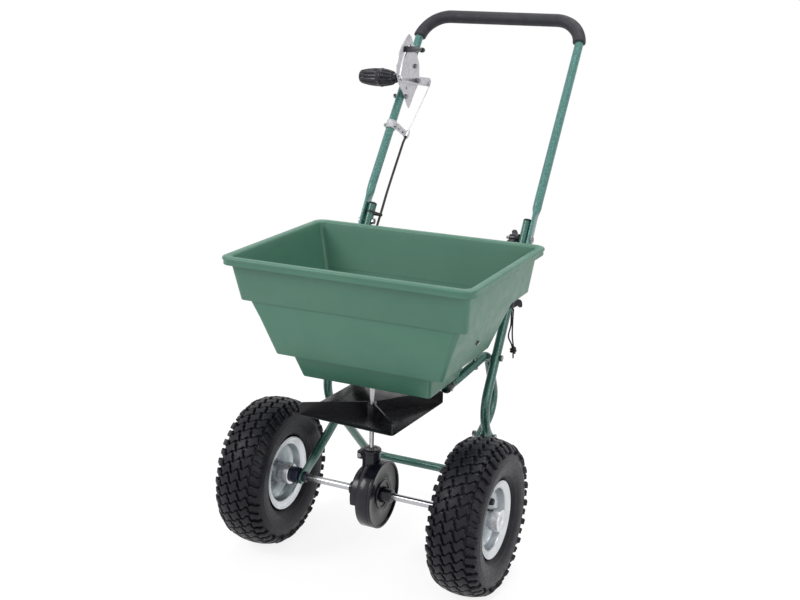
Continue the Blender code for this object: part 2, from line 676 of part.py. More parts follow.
def build_gate():
    """A shutter plate that slides in a channel plate pegged under the hopper floor."""
    floor = HOPPER_TIERS[-1][1][0]
    gate_high = floor - GAP
    gate_low = gate_high - GATE_THICKNESS
    guide_high = gate_low - GAP
    guide_low = guide_high - GATE_THICKNESS
    rail = GATE_HALF_WIDTH + GAP
    guide_half = rail + 0.0120
    channel = [(-guide_half, guide_low), (guide_half, guide_low), (guide_half, gate_high), (rail, gate_high),
               (rail, guide_high), (-rail, guide_high), (-rail, gate_high), (-guide_half, gate_high)]
    bm = bmesh.new()
    add_slab(bm, [(x, 0.0, z) for x, z in channel], (0, GUIDE_REAR, 0))
    guide = add_piece("gate_guide", bm, "zinc")
    tongue = bmesh.new()
    add_box(tongue, (-0.0110, GUIDE_REAR - 0.0100, guide_low), (0.0110, CABLE_STOP_Y, guide_high))
    stop = bmesh.new()
    add_box(stop, (-0.0110, CABLE_STOP_Y - 0.0020, WIRE_END_Z - 0.0090), (0.0110, CABLE_STOP_Y, guide_high))
    join_solids(guide, add_cutter("guide_tongue", tongue), add_cutter("guide_cable_stop", stop))
    for name, side in SIDES:
        for i, y in enumerate(GUIDE_PEGS_Y):
            peg = bmesh.new()
            profile = ((guide_low + 0.0010, 0.0020), (floor + HOPPER_WALL + GAP, 0.0020),
                       (floor + HOPPER_WALL + GAP, 0.0036), (floor + HOPPER_WALL + 0.0018, 0.0028))
            add_turned(peg, profile, (side * GUIDE_PEG_X, y, 0), (0, 0, 1), 8)
            join_solids(guide, add_cutter(f"guide_peg_{name}_{i}", peg))
    cutter = bmesh.new()
    for side in (-1, 1):
        add_outlet(cutter, side, guide_low - 0.01, guide_high + 0.001)
    add_box(cutter, (-0.0065, -0.0100, guide_low - 0.01), (0.0065, 0.0065, guide_high + 0.001))
    lug_way = (GATE_REAR + 0.0100 - GATE_TRAVEL - 0.0040, CABLE_STOP_Y - 0.0060)
    add_box(cutter, (-0.0070, lug_way[0], guide_low - 0.01), (0.0070, lug_way[1], guide_high + 0.001))
    add_rod(cutter, (0, CABLE_STOP_Y - 0.01, WIRE_END_Z), (0, CABLE_STOP_Y + 0.01, WIRE_END_Z),
            SHEATH_RADIUS + GAP,
            12)
    cut(guide, add_cutter("cut_guide", cutter))

    plate = bmesh.new()
    width = GATE_HALF_WIDTH
    slot_end = GATE_FRONT + GATE_TRAVEL + 0.0060
    outline = [(-width, GATE_FRONT), (-0.0065, GATE_FRONT), (-0.0065, slot_end), (0.0065, slot_end),
               (0.0065, GATE_FRONT), (width, GATE_FRONT), (width, GATE_REAR), (0.0080, GATE_REAR),
               (0.0080, GATE_REAR + 0.0140), (-0.0080, GATE_REAR + 0.0140), (-0.0080, GATE_REAR),
               (-width, GATE_REAR)]
    add_slab(plate, [(x, y, gate_low) for x, y in outline], (0, 0, GATE_THICKNESS))
    gate = add_piece("gate_plate", plate, "zinc")
    windows = bmesh.new()
    for side in (-1, 1):
        add_outlet(windows, side, gate_low - 0.01, gate_high + 0.01, shift=GATE_TRAVEL)
    cut(gate, add_cutter("cut_gate_windows", windows))
    lug = bmesh.new()
    add_box(lug, (-0.0060, GATE_REAR + 0.0100, WIRE_END_Z - 0.0040),
            (0.0060, GATE_REAR + 0.0120, gate_low + 0.0010))
    wire = bmesh.new()
    profile = ((0.0, 0.0028), (0.0070, 0.0028), (0.0070, WIRE_RADIUS), (0.0920, WIRE_RADIUS))
    add_turned(wire, profile, (0.0, GATE_REAR + 0.0110, WIRE_END_Z), (0, 1, 0), 8)
    join_solids(gate, add_cutter("gate_lug", lug), add_cutter("gate_wire", wire))


def build_wheel(name, side):
    """Hollow tyre, pressed rim welded to its hub, and the valve of one wheel."""
    centre = Vector((side * TRACK / 2, 0, WHEEL_RADIUS))
    outward = Vector((side, 0, 0))
    half = TYRE_WIDTH / 2
    seat = BEAD_RADIUS + GAP
    outer = ((0.0268, seat), (0.0268, RIM_FLANGE_RADIUS + GAP), (0.0390, 0.0790), (half, 0.0970),
             (0.0400, 0.1190),
             (0.0240, WHEEL_RADIUS - 0.0015), (0.0080, WHEEL_RADIUS))
    inner = ((0.0310, 0.1170), (0.0375, 0.0960), (0.0180, 0.0690), (0.0180, seat))
    profile = list(outer) + [(-x, r) for x, r in reversed(outer)] + [(-x, r) for x, r in reversed(inner)]
    profile += list(inner)
    tyre = bmesh.new()
    add_turned_ring(tyre, profile, centre, outward, WHEEL_SIDES)
    add_piece(f"tyre_{name}", tyre, "tyre_rubber", origin=centre)

    rim = bmesh.new()
    bore = AXLE_RADIUS + (0.0001 if side > 0 else GAP)
    half_profile = ((0.0, 0.0415), (0.0100, BEAD_RADIUS), (0.0271, BEAD_RADIUS), (0.0275, RIM_FLANGE_RADIUS),
                    (0.0305, RIM_FLANGE_RADIUS), (0.0290, BEAD_RADIUS - SHEET),
                    (0.0110, BEAD_RADIUS - SHEET),
                    (SHEET, 0.0390), (SHEET, HUB_RADIUS), (HUB_HALF_LENGTH, HUB_RADIUS),
                    (HUB_HALF_LENGTH, bore))
    profile = list(half_profile) + [(-x, r) for x, r in reversed(half_profile[1:])]
    add_turned_ring(rim, profile, centre, outward, WHEEL_SIDES)
    rim_object = add_piece(f"rim_{name}", rim, "zinc", origin=centre)
    if side > 0:
        cut(rim_object, add_cutter("cut_drive_pin_hub", drive_pin_rod(DRIVE_PIN_RADIUS + 0.0001, 0.03)))

    valve = bmesh.new()
    foot = centre + Vector((side * (SHEET + GAP), 0, VALVE_HEIGHT))
    profile = ((0.0, 0.0055), (0.0060, 0.0045), (0.0160, 0.0040), (0.0165, 0.0046), (0.0260, 0.0042))
    add_turned(valve, profile, foot, outward, 10)
    add_piece(f"valve_stem_{name}", valve, "black_rubber", origin=centre)


def drive_pin_rod(radius, half_length):
    bm = bmesh.new()
    lean = Vector((0, -0.35, 1.0)).normalized()
    middle = Vector((DRIVE_PIN_X, 0, WHEEL_RADIUS))
    add_rod(bm, middle - lean * half_length, middle + lean * half_length, radius, 12)
    return bm


def build_axle():
    bm = bmesh.new()
    profile = ((AXLE_RIGHT, AXLE_RADIUS - 0.001), (AXLE_RIGHT + 0.001, AXLE_RADIUS),
               (AXLE_LEFT - 0.001, AXLE_RADIUS),
               (AXLE_LEFT, AXLE_RADIUS - 0.001))
    add_turned(bm, profile, AXLE, (1, 0, 0), 16)
    axle = add_piece("axle", bm, "polished_steel", origin=AXLE)
    cut(axle, add_cutter("cut_drive_pin_axle", drive_pin_rod(DRIVE_PIN_RADIUS + 0.0001, 0.03)))
    hole = z_rod(-RETAINER_X, 0.0, WHEEL_RADIUS - 0.02, WHEEL_RADIUS + 0.02, 0.0016)
    cut(axle, add_cutter("cut_retaining_pin", hole))
    add_piece("drive_pin", drive_pin_rod(DRIVE_PIN_RADIUS, HUB_RADIUS + 0.0025), "zinc", origin=AXLE)
    pin = z_rod(-RETAINER_X, 0.0, WHEEL_RADIUS - 0.0100, WHEEL_RADIUS + 0.0100, 0.0015)
    add_piece("retaining_pin", pin, "zinc", origin=AXLE)

    for name, side in SIDES:
        start = Vector((side * (STRUT_END_X + STRUT_END_THICKNESS / 2 + 0.0026), 0, WHEEL_RADIUS))
        length = TRACK / 2 - HUB_HALF_LENGTH - abs(start.x) - GAP
        collar = bmesh.new()
        bore = AXLE_RADIUS + GAP
        profile = ((0.0, bore), (0.0, 0.0140), (length, 0.0140), (length, bore))
        add_turned_ring(collar, profile, start, (side, 0, 0), 12)
        add_piece(f"spacer_collar_{name}", collar, "black_plastic")

        half = STRUT_END_THICKNESS / 2
        bush = bmesh.new()
        profile = ((-half - 0.0060, bore), (-half - 0.0060, 0.0125), (-half - GAP, 0.0125),
                   (-half - GAP, BUSH_RADIUS), (half + 0.0020, BUSH_RADIUS), (half + 0.0020, bore))
        add_turned_ring(bush, profile, (side * STRUT_END_X, 0, WHEEL_RADIUS), (side, 0, 0), 12)
        add_piece(f"axle_bush_{name}", bush, "black_plastic")


def build_gearbox():
    """A drum for the crown gear, a smaller housing for the pinion and a neck for the shaft."""
    split = DRUM_LEFT - 0.0060
    body = bmesh.new()
    add_turned(body, ((GEAR_HOUSING_RIGHT, GEAR_HOUSING_RADIUS - 0.002),
                      (GEAR_HOUSING_RIGHT + 0.002, GEAR_HOUSING_RADIUS),
                      (DRUM_RIGHT, GEAR_HOUSING_RADIUS), (DRUM_RIGHT, DRUM_RADIUS - 0.001),
                      (DRUM_RIGHT + 0.001, DRUM_RADIUS), (split, DRUM_RADIUS)), AXLE, (1, 0, 0), 24)
    case = add_piece("gearbox_case", body, "black_plastic")
    neck = bmesh.new()
    add_turned(neck, ((0.150, NECK_RADIUS), (NECK_TOP, NECK_RADIUS)), (0, 0, 0), (0, 0, 1), 16)
    boss = bmesh.new()
    add_turned(boss, ((GEAR_HOUSING_RIGHT - 0.0180, 0.0105), (GEAR_HOUSING_RIGHT - 0.0180, 0.0110),
                      (GEAR_HOUSING_RIGHT + 0.002, 0.0125)), AXLE, (1, 0, 0), 16)
    join_solids(case, add_cutter("case_neck", neck), add_cutter("case_boss", boss))
    inner = bmesh.new()
    wall = CASE_WALL
    add_turned(inner, ((GEAR_HOUSING_RIGHT + wall, GEAR_HOUSING_RADIUS - wall),
                       (DRUM_RIGHT + wall, GEAR_HOUSING_RADIUS - wall),
                       (DRUM_RIGHT + wall, DRUM_RADIUS - wall), (split + 0.01, DRUM_RADIUS - wall)), AXLE,
                       (1, 0, 0), 24)
    bore = x_rod(0.0, WHEEL_RADIUS, AXLE_RADIUS + GAP, 0.05, -0.03)
    neck_bore = bmesh.new()
    add_rod(neck_bore, (0, 0, 0.135), (0, 0, NECK_TOP + 0.01), NECK_BORE, 16)
    cut(case, add_cutter("case_cavity", inner), add_cutter("case_bore", bore),
        add_cutter("case_neck_bore", neck_bore))
    ear = bmesh.new()
    add_slab(ear, [(-0.0125, -0.0060, 0.1900), (-0.0240, -0.0060, 0.1900), (-0.0240, 0.0060, 0.1900),
                   (-0.0125, 0.0060, 0.1900)], (0, 0, NECK_TOP - 0.1900))
    join_solids(case, add_cutter("case_ear", ear))
    ear_hole = bmesh.new()
    add_rod(ear_hole, (-0.0190, -0.02, 0.1965), (-0.0190, 0.02, 0.1965), 0.0023, 12)
    cut(case, add_cutter("cut_case_ear", ear_hole))

    cover = bmesh.new()
    add_turned_ring(cover, ((split + GAP, AXLE_RADIUS + GAP), (split + GAP, DRUM_RADIUS),
                            (DRUM_LEFT - 0.001, DRUM_RADIUS),
                            (DRUM_LEFT, DRUM_RADIUS - 0.001), (DRUM_LEFT, DRUM_RADIUS - 0.006),
                            (DRUM_LEFT - 0.002, DRUM_RADIUS - 0.007), (DRUM_LEFT - 0.002, 0.0125),
                            (DRUM_LEFT + 0.0150, 0.0105), (DRUM_LEFT + 0.0150, AXLE_RADIUS + GAP)),
                    AXLE, (1, 0, 0), 24)
    add_piece("gearbox_cover", cover, "black_plastic")

    ear_bolt = bmesh.new()
    add_bolt(ear_bolt, (-0.0190, -0.0060 - GAP, 0.1965), (-0.0190, 0.0060 + GAP, 0.1965), radius=0.0020,
             head=0.0036,
             head_height=0.0028, nut=0.0036, nut_height=0.0030)
    add_piece("neck_bolt", ear_bolt, "zinc")

    bushing = bmesh.new()
    bore = SHAFT_RADIUS + GAP
    profile = ((NECK_TOP + 0.0055, bore), (NECK_TOP + 0.0055, 0.0150), (NECK_TOP + 0.0045, 0.0160),
               (NECK_TOP + GAP, 0.0160), (NECK_TOP + GAP, NECK_BORE - GAP),
               (NECK_TOP - 0.0080, NECK_BORE - GAP),
               (NECK_TOP - 0.0080, bore))
    add_turned_ring(bushing, profile, (0, 0, 0), (0, 0, 1), 16)
    add_piece("neck_cap", bushing, "zinc")


def build_gears():
    """A moulded crown gear pinned to the axle and the pinion on the foot of the upright shaft."""
    tooth_tip = PINION_PITCH_RADIUS - 0.0016
    tooth_root = PINION_PITCH_RADIUS + 0.0030
    face = tooth_root + 0.0004
    inner_r, outer_r = CROWN_PITCH_RADIUS - 0.0025, CROWN_PITCH_RADIUS + 0.0025
    crown = bmesh.new()
    plate_back = 0.0185
    add_turned_ring(crown, ((face, AXLE_RADIUS + 0.0001), (face, outer_r + 0.001),
                            (plate_back, outer_r + 0.001),
                            (plate_back, AXLE_RADIUS + 0.0001)), AXLE, (1, 0, 0), CROWN_TEETH)
    crown_object = add_piece("crown_gear", crown, "gear_nylon", origin=AXLE)
    teeth = bmesh.new()
    for k in range(CROWN_TEETH):
        angle = 2 * math.pi * (k + 0.5) / CROWN_TEETH
        radial = Vector((0, math.sin(angle), math.cos(angle)))
        tangent = Vector((0, math.cos(angle), -math.sin(angle)))
        rings = []
        for x, half in ((face + 0.0005, 0.0013), (tooth_tip, 0.0007)):
            rings.append([AXLE + Vector((x, 0, 0)) + radial * r + tangent * t
                          for r, t in ((inner_r, -half), (outer_r, -half), (outer_r, half),
                                       (inner_r, half))])
        skin_rings(teeth, rings)
    join_solids(crown_object, add_cutter("crown_teeth", teeth))

    low, high = WHEEL_RADIUS + inner_r - 0.0005, WHEEL_RADIUS + outer_r + 0.0005
    root, waist, tip = [PINION_PITCH_RADIUS + step for step in (-0.0022, -0.0014, 0.0018)]
    outline = []
    for k in range(PINION_TEETH):
        centre = 2 * math.pi * k / PINION_TEETH
        for offset, radius in ((-0.30, root), (-0.15, waist), (-0.075, tip), (0.075, tip), (0.15, waist),
                               (0.30, root)):
            angle = centre + offset
            outline.append((angle, radius))
    rings = []
    for z in (low, high):
        rings.append([Vector((r * math.cos(a), r * math.sin(a), z)) for a, r in outline])
    pinion = bmesh.new()
    skin_rings(pinion, rings)
    pinion_object = add_piece("pinion", pinion, "gear_nylon", origin=SHAFT)
    cut(pinion_object, add_cutter("cut_pinion_bore", z_rod(0, 0, 0.15, 0.20, SHAFT_RADIUS + 0.0001)))


def build_impeller():
    """A dished square plate on its corner, with four upright vanes along its diagonals."""
    thickness = 0.0020
    angles = [IMPELLER_TURN + math.radians(45 + 90 * k) for k in range(4)]
    tips = [Vector((IMPELLER_CORNER * math.cos(a), IMPELLER_CORNER * math.sin(a),
                    IMPELLER_TIP_Z)) for a in angles]
    centre = Vector((0, 0, IMPELLER_CENTRE_Z))
    bm = bmesh.new()
    top = [bm.verts.new(tip) for tip in tips]
    bottom = [bm.verts.new(tip - Vector((0, 0, thickness))) for tip in tips]
    top_centre, bottom_centre = bm.verts.new(centre), bm.verts.new(centre - Vector((0, 0, thickness)))
    for i in range(4):
        j = (i + 1) % 4
        bm.faces.new((top[i], top[j], top_centre))
        bm.faces.new((bottom[j], bottom[i], bottom_centre))
        bm.faces.new((bottom[i], bottom[j], top[j], top[i]))
    plate = add_piece("impeller", bm, "black_plastic", origin=SHAFT, smooth_angle=5.0)
    vanes = bmesh.new()
    for angle in angles:
        out = Vector((math.cos(angle), math.sin(angle), 0))
        side = Vector((-math.sin(angle), math.cos(angle), 0)) * 0.0013
        inner, outer = out * 0.0080, out * (IMPELLER_CORNER - 0.0015)
        outline = [inner + Vector((0, 0, IMPELLER_CENTRE_Z - 0.0005)),
                   outer + Vector((0, 0, IMPELLER_TIP_Z - 0.0015)),
                   outer + Vector((0, 0, VANE_TOP_Z)), inner + Vector((0, 0, VANE_TOP_Z))]
        add_slab(vanes, [p - side for p in outline], side * 2)
    hub = bmesh.new()
    add_turned(hub, ((0.2620, 0.0100), (0.2630, 0.0110), (0.2890, 0.0110), (0.2900, 0.0100)), (0, 0, 0),
               (0, 0, 1), 16)
    join_solids(plate, add_cutter("impeller_vanes", vanes), add_cutter("impeller_hub", hub))
    cut(plate, add_cutter("cut_impeller_bore", z_rod(0, 0, 0.25, 0.31, SHAFT_RADIUS + 0.0001)))

    shaft = bmesh.new()
    add_turned(shaft, ((0.1520, SHAFT_RADIUS - 0.0005), (0.1525, SHAFT_RADIUS),
                       (SHAFT_TOP - 0.001, SHAFT_RADIUS),
                       (SHAFT_TOP, SHAFT_RADIUS - 0.001)), (0, 0, 0), (0, 0, 1), 12)
    shaft_object = add_piece("impeller_shaft", shaft, "polished_steel", origin=SHAFT)
    agitator_hole = bmesh.new()
    add_rod(agitator_hole, (0, -0.02, AGITATOR_Z), (0, 0.02, AGITATOR_Z), 0.0021, 12)
    cut(shaft_object, add_cutter("cut_agitator", agitator_hole))

    path = rounded_path([(0, -0.0300, AGITATOR_Z + 0.018), (0, -0.0240, AGITATOR_Z), (0, 0.0240, AGITATOR_Z),
                         (0, 0.0300, AGITATOR_Z + 0.018)], (0.005, 0.005))
    agitator = bmesh.new()
    sweep_tube(agitator, path, 0.0020, 8)
    add_piece("agitator", agitator, "zinc", origin=SHAFT)


def polar(angle, radius, x):
    """A point in the lever plate's plane, by angle and distance from the lever's pivot."""
    return Vector((x, LEVER_PIVOT[0] + radius * math.cos(angle), LEVER_PIVOT[1] + radius * math.sin(angle)))


def handle_y(z):
    """Where the straight upper run of the handle tube is at a height."""
    return KNEE[0] + (HANDLE_TOP[0] - KNEE[0]) * (z - KNEE[1]) / (HANDLE_TOP[1] - KNEE[1])


def plate_bolt_places():
    return [(handle_y(z), z) for z in PLATE_BOLT_HEIGHTS]


def build_flow_control():
    """The leaf-shaped plate with its arc slot, the lever and knob, and the movable stop."""
    plate_far, plate_near = PLATE_X + GAP, PLATE_X + GAP + PLATE_THICKNESS
    outline = ((0.4437, 0.8605), (0.4290, 0.8530), (0.4120, 0.8400), (0.3985, 0.8240), (0.3915, 0.8060),
               (0.3935, 0.7870), (0.4030, 0.7700), (0.4160, 0.7560), (0.4300, 0.7400), (0.4390, 0.7280),
               (0.4476, 0.7204),
               (0.4580, 0.7310), (0.4730, 0.7480), (0.4870, 0.7610), (0.4925, 0.7790), (0.4915, 0.8000),
               (0.4790, 0.8220), (0.4620, 0.8420), (0.4530, 0.8550))
    bm = bmesh.new()
    add_slab(bm, [(plate_far, y, z) for y, z in outline], (PLATE_THICKNESS, 0, 0))
    plate = add_piece("lever_plate", bm, "zinc")
    slot = bmesh.new()
    low, high = math.radians(175.5), math.radians(112.0)
    width = 0.0034
    steps = 8
    outer = [polar(low + (high - low) * k / steps, LEVER_REACH + width,
                   plate_far - 0.003) for k in range(steps + 1)]
    inner = [polar(high + (low - high) * k / steps, LEVER_REACH - width,
                   plate_far - 0.003) for k in range(steps + 1)]
    add_slab(slot, outer + inner, (0.010, 0, 0))
    cut(plate, add_cutter("cut_plate_slot", slot))
    holes = bmesh.new()
    for y, z in plate_bolt_places():
        add_rod(holes, (-0.20, y, z), (-0.13, y, z), 0.0025 + GAP)
    hole_cutter = add_cutter("cut_plate_bolts", holes)
    cut(plate, hole_cutter)
    cut(bpy.data.objects["handle_tube"], hole_cutter)
    spare = x_rod(0.4346, 0.7599, 0.0032, 0.02, PLATE_X)
    pivot_hole = x_rod(LEVER_PIVOT[0], LEVER_PIVOT[1], 0.0030 + GAP, 0.02, PLATE_X)
    pivot_cutter = add_cutter("cut_lever_pivot", pivot_hole)
    cut(plate, add_cutter("cut_plate_spare_hole", spare), pivot_cutter)
    for level, (y, z) in zip(("upper", "lower"), plate_bolt_places()):
        bolt = bmesh.new()
        add_bolt(bolt, (plate_near + GAP, y, z), (-HANDLE_FLAT_X - TUBE_RADIUS - GAP, y, z), radius=0.0025,
                 head=0.0042, head_height=0.0028, nut=0.0042, nut_height=0.0035)
        add_piece(f"plate_bolt_{level}", bolt, "zinc")

    bar_far = plate_near + GAP
    bar_near = bar_far + 0.0025
    tail = LEVER_REST + math.pi
    half = 0.0085
    along = Vector((0, math.cos(LEVER_REST), math.sin(LEVER_REST)))
    over = Vector((0, -along.z, along.y))
    outline = []
    for centre, sign in ((PIVOT + along * LEVER_REACH, 1), (PIVOT - along * LEVER_TAIL, -1)):
        centre = Vector((bar_far, centre.y, centre.z))
        radius = 0.0070 if sign > 0 else half
        for k in range(7):
            angle = math.radians(90 - 30 * k)
            turned = along * radius * math.cos(angle) + over * radius * math.sin(angle)
            outline.append(centre + sign * turned)
    bar = bmesh.new()
    add_slab(bar, outline, (bar_near - bar_far, 0, 0))
    lever = add_piece("flow_lever", bar, "zinc", origin=PIVOT)
    cut(lever, pivot_cutter)
    wire_hole = bmesh.new()
    wire_at = polar(tail, LEVER_TAIL, 0)
    add_rod(wire_hole, (-0.20, wire_at.y, wire_at.z), (-0.13, wire_at.y, wire_at.z), 0.0031, 12)
    cut(lever, add_cutter("cut_lever_wire", wire_hole))
    stud_at = polar(LEVER_REST, LEVER_REACH, 0)

    bolt = bmesh.new()
    add_bolt(bolt, (plate_far - GAP, *LEVER_PIVOT), (bar_near + GAP, *LEVER_PIVOT), head=0.0055,
             head_height=0.0035)
    add_piece("lever_pivot_bolt", bolt, "zinc", origin=PIVOT)

    knob_start = plate_far - 0.0030
    stud = bmesh.new()
    add_turned(stud, ((0.0, 0.0044), (0.0040, 0.0044), (0.0040, 0.0025), (0.0420, 0.0025)),
               (bar_near + 0.0030, stud_at.y, stud_at.z), (-1, 0, 0), 10)
    join_solids(lever, add_cutter("knob_stud", stud))
    knob = bmesh.new()
    barrel = ((0.0, 0.0085), (0.0015, 0.0100), (0.0060, 0.0128), (0.0250, 0.0165), (0.0400, KNOB_RADIUS),
              (0.0560, 0.0165), (0.0700, 0.0135), (0.0760, 0.0115), (KNOB_LENGTH, 0.0080))
    rings = []
    for along_x, radius in barrel:
        ring = []
        for k in range(16):
            angle = 2 * math.pi * k / 16
            fluted = radius * (0.92 if k % 2 == 0 and 0.004 < along_x < 0.074 else 1.0)
            ring.append(Vector((knob_start - along_x, stud_at.y + fluted * math.cos(angle),
                                stud_at.z + fluted * math.sin(angle))))
        rings.append(ring)
    skin_rings(knob, rings)
    knob_object = add_piece("lever_knob", knob, "black_plastic", origin=PIVOT)
    bore = bmesh.new()
    add_rod(bore, (knob_start + 0.01, stud_at.y, stud_at.z), (knob_start - 0.0380, stud_at.y, stud_at.z),
            0.0025 + GAP)
    cut(knob_object, add_cutter("cut_knob_bore", bore))
    build_stop(plate_far, plate_near)


def build_stop(plate_far, plate_near):
    """The black stop: a block that straddles the plate's slot, held by a long clamping screw."""
    middle = polar(STOP_ANGLE, LEVER_REACH, 0)
    block = bmesh.new()
    for x0, x1 in ((plate_far - 0.0045, plate_far - GAP), (plate_near + GAP, plate_near + 0.0055)):
        outline = []
        for y, z in ((-0.0160, -0.0045), (0.0400, -0.0085), (0.0420, 0.0015), (-0.0140, 0.0060)):
            outline.append((x0, middle.y + y, middle.z + z))
        add_slab(block, outline, (x1 - x0, 0, 0))
    bridge = bmesh.new()
    add_rod(bridge, (plate_far - 0.0030, middle.y, middle.z), (plate_near + 0.0030, middle.y, middle.z),
            0.0026, 10)
    stop = add_piece("lever_stop", block, "black_plastic", origin=PIVOT)
    screw = bmesh.new()
    start = Vector((plate_near + 0.0030, middle.y + 0.0400, middle.z - 0.0035))
    add_turned(screw, ((0.0, 0.0028), (0.0150, 0.0028), (0.0155, 0.0048), (0.0230, 0.0048),
                       (0.0240, 0.0035)),
               start, (0, 1.0, -0.12), 12)
    join_solids(stop, add_cutter("stop_bridge", bridge), add_cutter("stop_screw", screw))


def build_cable():
    """The clamp on the handle tube, the sheath down to the gate and the bare wire at the lever."""
    slope = (HANDLE_TOP[0] - KNEE[0]) / (HANDLE_TOP[1] - KNEE[1])
    band_z = 0.7030
    tube_x = HANDLE_FLAT_X + (HANDLE_X - HANDLE_FLAT_X) * (band_z - KNEE[1]) / (HANDLE_TOP[1] - KNEE[1])
    tube_at = Vector((-tube_x, handle_y(band_z), band_z))
    direction = Vector((0, slope, 1.0)).normalized()
    band = bmesh.new()
    bore = TUBE_RADIUS + 2 * GAP
    profile = ((-0.0060, bore), (-0.0060, bore + 0.0016), (0.0060, bore + 0.0016), (0.0060, bore))
    add_turned_ring(band, profile, tube_at, direction, 12)
    clamp = add_piece("cable_clamp", band, "zinc")
    top = Vector(SHEATH_TOP)
    boss = bmesh.new()
    toward = (Vector(wire_top()) - top).normalized()
    add_rod(boss, top, top + toward * 0.0110, 0.0050)
    ear = bmesh.new()
    add_rod(ear, tube_at + Vector((TUBE_RADIUS + 0.0034, 0, 0)), top + toward * 0.0055, 0.0025, 8)
    join_solids(clamp, add_cutter("clamp_ear", ear), add_cutter("clamp_boss", boss))
    way = bmesh.new()
    add_rod(way, top - toward * 0.03, top + toward * 0.03, SHEATH_RADIUS + GAP, 12)
    cut(clamp, add_cutter("cut_clamp_way", way))

    ahead = top + toward * 0.0070
    route = [top - toward * 0.0140, (-0.1385, 0.3420, 0.5920), (-0.1350, 0.3060, 0.5540),
             (-0.1345, 0.2560, 0.4780),
             (-0.1200, 0.2240, 0.4150), (-0.0600, 0.2080, 0.3600), (-0.0080, 0.2140, 0.3190),
             (0.0, 0.1960, WIRE_END_Z)]
    sheath = bmesh.new()
    points = [ahead] + smooth_route(route, 3) + [Vector((0.0, CABLE_STOP_Y - 0.0030, WIRE_END_Z))]
    sweep_tube(sheath, points, SHEATH_RADIUS, 6)
    sheath_object = add_piece("cable_sheath", sheath, "black_rubber")
    lower_bore = bmesh.new()
    add_rod(lower_bore, (0, 0.1400, WIRE_END_Z), (0, 0.1950, WIRE_END_Z), WIRE_RADIUS + GAP, 8)
    cut(sheath_object, add_cutter("cut_sheath_bore", lower_bore))

    wire = bmesh.new()
    start = ahead + toward * 0.0006
    end = Vector(wire_top())
    add_rod(wire, start, end, WIRE_RADIUS, 8)
    add_piece("control_wire", wire, "polished_steel")


def wire_top():
    tail = polar(LEVER_REST + math.pi, LEVER_TAIL, PLATE_X + 0.0065)
    return tail + Vector((0.0, -0.0030, -0.0080))


def smooth_route(route, steps):
    """Points along a Catmull-Rom curve through a hand-placed route."""
    knots = [Vector(p) for p in route]
    knots = [2 * knots[0] - knots[1]] + knots + [2 * knots[-1] - knots[-2]]
    points = []
    for i in range(1, len(knots) - 2):
        p0, p1, p2, p3 = knots[i - 1:i + 3]
        for k in range(steps):
            t = k / steps
            points.append(0.5 * (2 * p1 + (p2 - p0) * t + (2 * p0 - 5 * p1 + 4 * p2 - p3) * t * t
                                 + (3 * p1 - p0 - 3 * p2 + p3) * t ** 3))
    points.append(knots[-2])
    return points


def build_tie_cord():
    """A plastic hook on the left frame tube with a short doubled cord, its knot and tail."""
    slope = (FRAME_TOP[0] - FRAME_BOW[0]) / (FRAME_TOP[1] - FRAME_BOW[1])
    z = 0.4230
    tube_at = Vector((FRAME_X, FRAME_TOP[0] - (FRAME_TOP[1] - z) * slope, z))
    direction = Vector((0, slope, 1.0)).normalized()
    collar = bmesh.new()
    bore = TUBE_RADIUS + 0.0006
    profile = ((-0.0060, bore), (-0.0060, bore + 0.0020), (0.0060, bore + 0.0020), (0.0060, bore))
    add_turned_ring(collar, profile, tube_at, direction, 12)
    hook_object = add_piece("cord_hook", collar, "black_plastic")
    hook = bmesh.new()
    away = Vector((0, 1.0, -slope)).normalized()
    outline = [(0.0092, -0.0050), (0.0210, -0.0050), (0.0200, -0.0120), (0.0260, -0.0120), (0.0270, 0.0020),
               (0.0150, 0.0060), (0.0092, 0.0050)]
    add_slab(hook, [tube_at + away * u + direction * v - Vector((0.0030, 0, 0)) for u, v in outline],
             (0.0060, 0, 0))
    join_solids(hook_object, add_cutter("cord_hook_arm", hook))
    cord = bmesh.new()
    start = tube_at + away * 0.0150 - direction * 0.0085
    knot_at = start + Vector((0.0010, 0.0150, -0.0790))
    route = [start, start + Vector((0.0, 0.0, -0.0250)), start + Vector((0.0005, 0.0020, -0.0500)),
             knot_at + Vector((0, 0, 0.0030))]
    sweep_tube(cord, smooth_route(route, 3), 0.0016, 6)
    cord_object = add_piece("tie_cord", cord, "black_cord")
    knot = bmesh.new()
    add_turned(knot, ((-0.0210, 0.0018), (-0.0090, 0.0020), (-0.0060, 0.0050), (0.0, 0.0068),
                      (0.0040, 0.0055),
                      (0.0062, 0.0020)), knot_at, (0.0, 0.0, 1.0), 8)
    join_solids(cord_object, add_cutter("cord_knot", knot))


def build():
    clear_scene()
    machine = bpy.data.objects.new("machine", None)
    machine.location = (0, -FRAME_CENTRE_Y, 0)
    bpy.context.collection.objects.link(machine)
    cutters = frame_bolt_cutters()
    build_frame(cutters)
    build_frame_bolts()
    build_handle(cutters)
    build_hopper()
    build_gate()
    for name, side in SIDES:
        build_wheel(name, side)
    build_axle()
    build_gearbox()
    build_gears()
    build_impeller()
    build_flow_control()
    build_cable()
    build_tie_cord()


build()
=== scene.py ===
"""Looks, light and camera for the walk-behind broadcast spreader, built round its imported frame.

Positions are in the machine's own coordinates: x to the left of the person who pushes it, y to the
rear and z up, in metres from the ground under the axle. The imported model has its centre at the
origin, so a finished piece is moved by SHIFT. Tables inside mm() are in millimetres.
"""
from functools import partial
from math import acos, ceil, copysign, cos, degrees, exp, hypot, pi, radians, sin, sqrt, tan

import bmesh
import bpy
from mathutils import Matrix, Vector


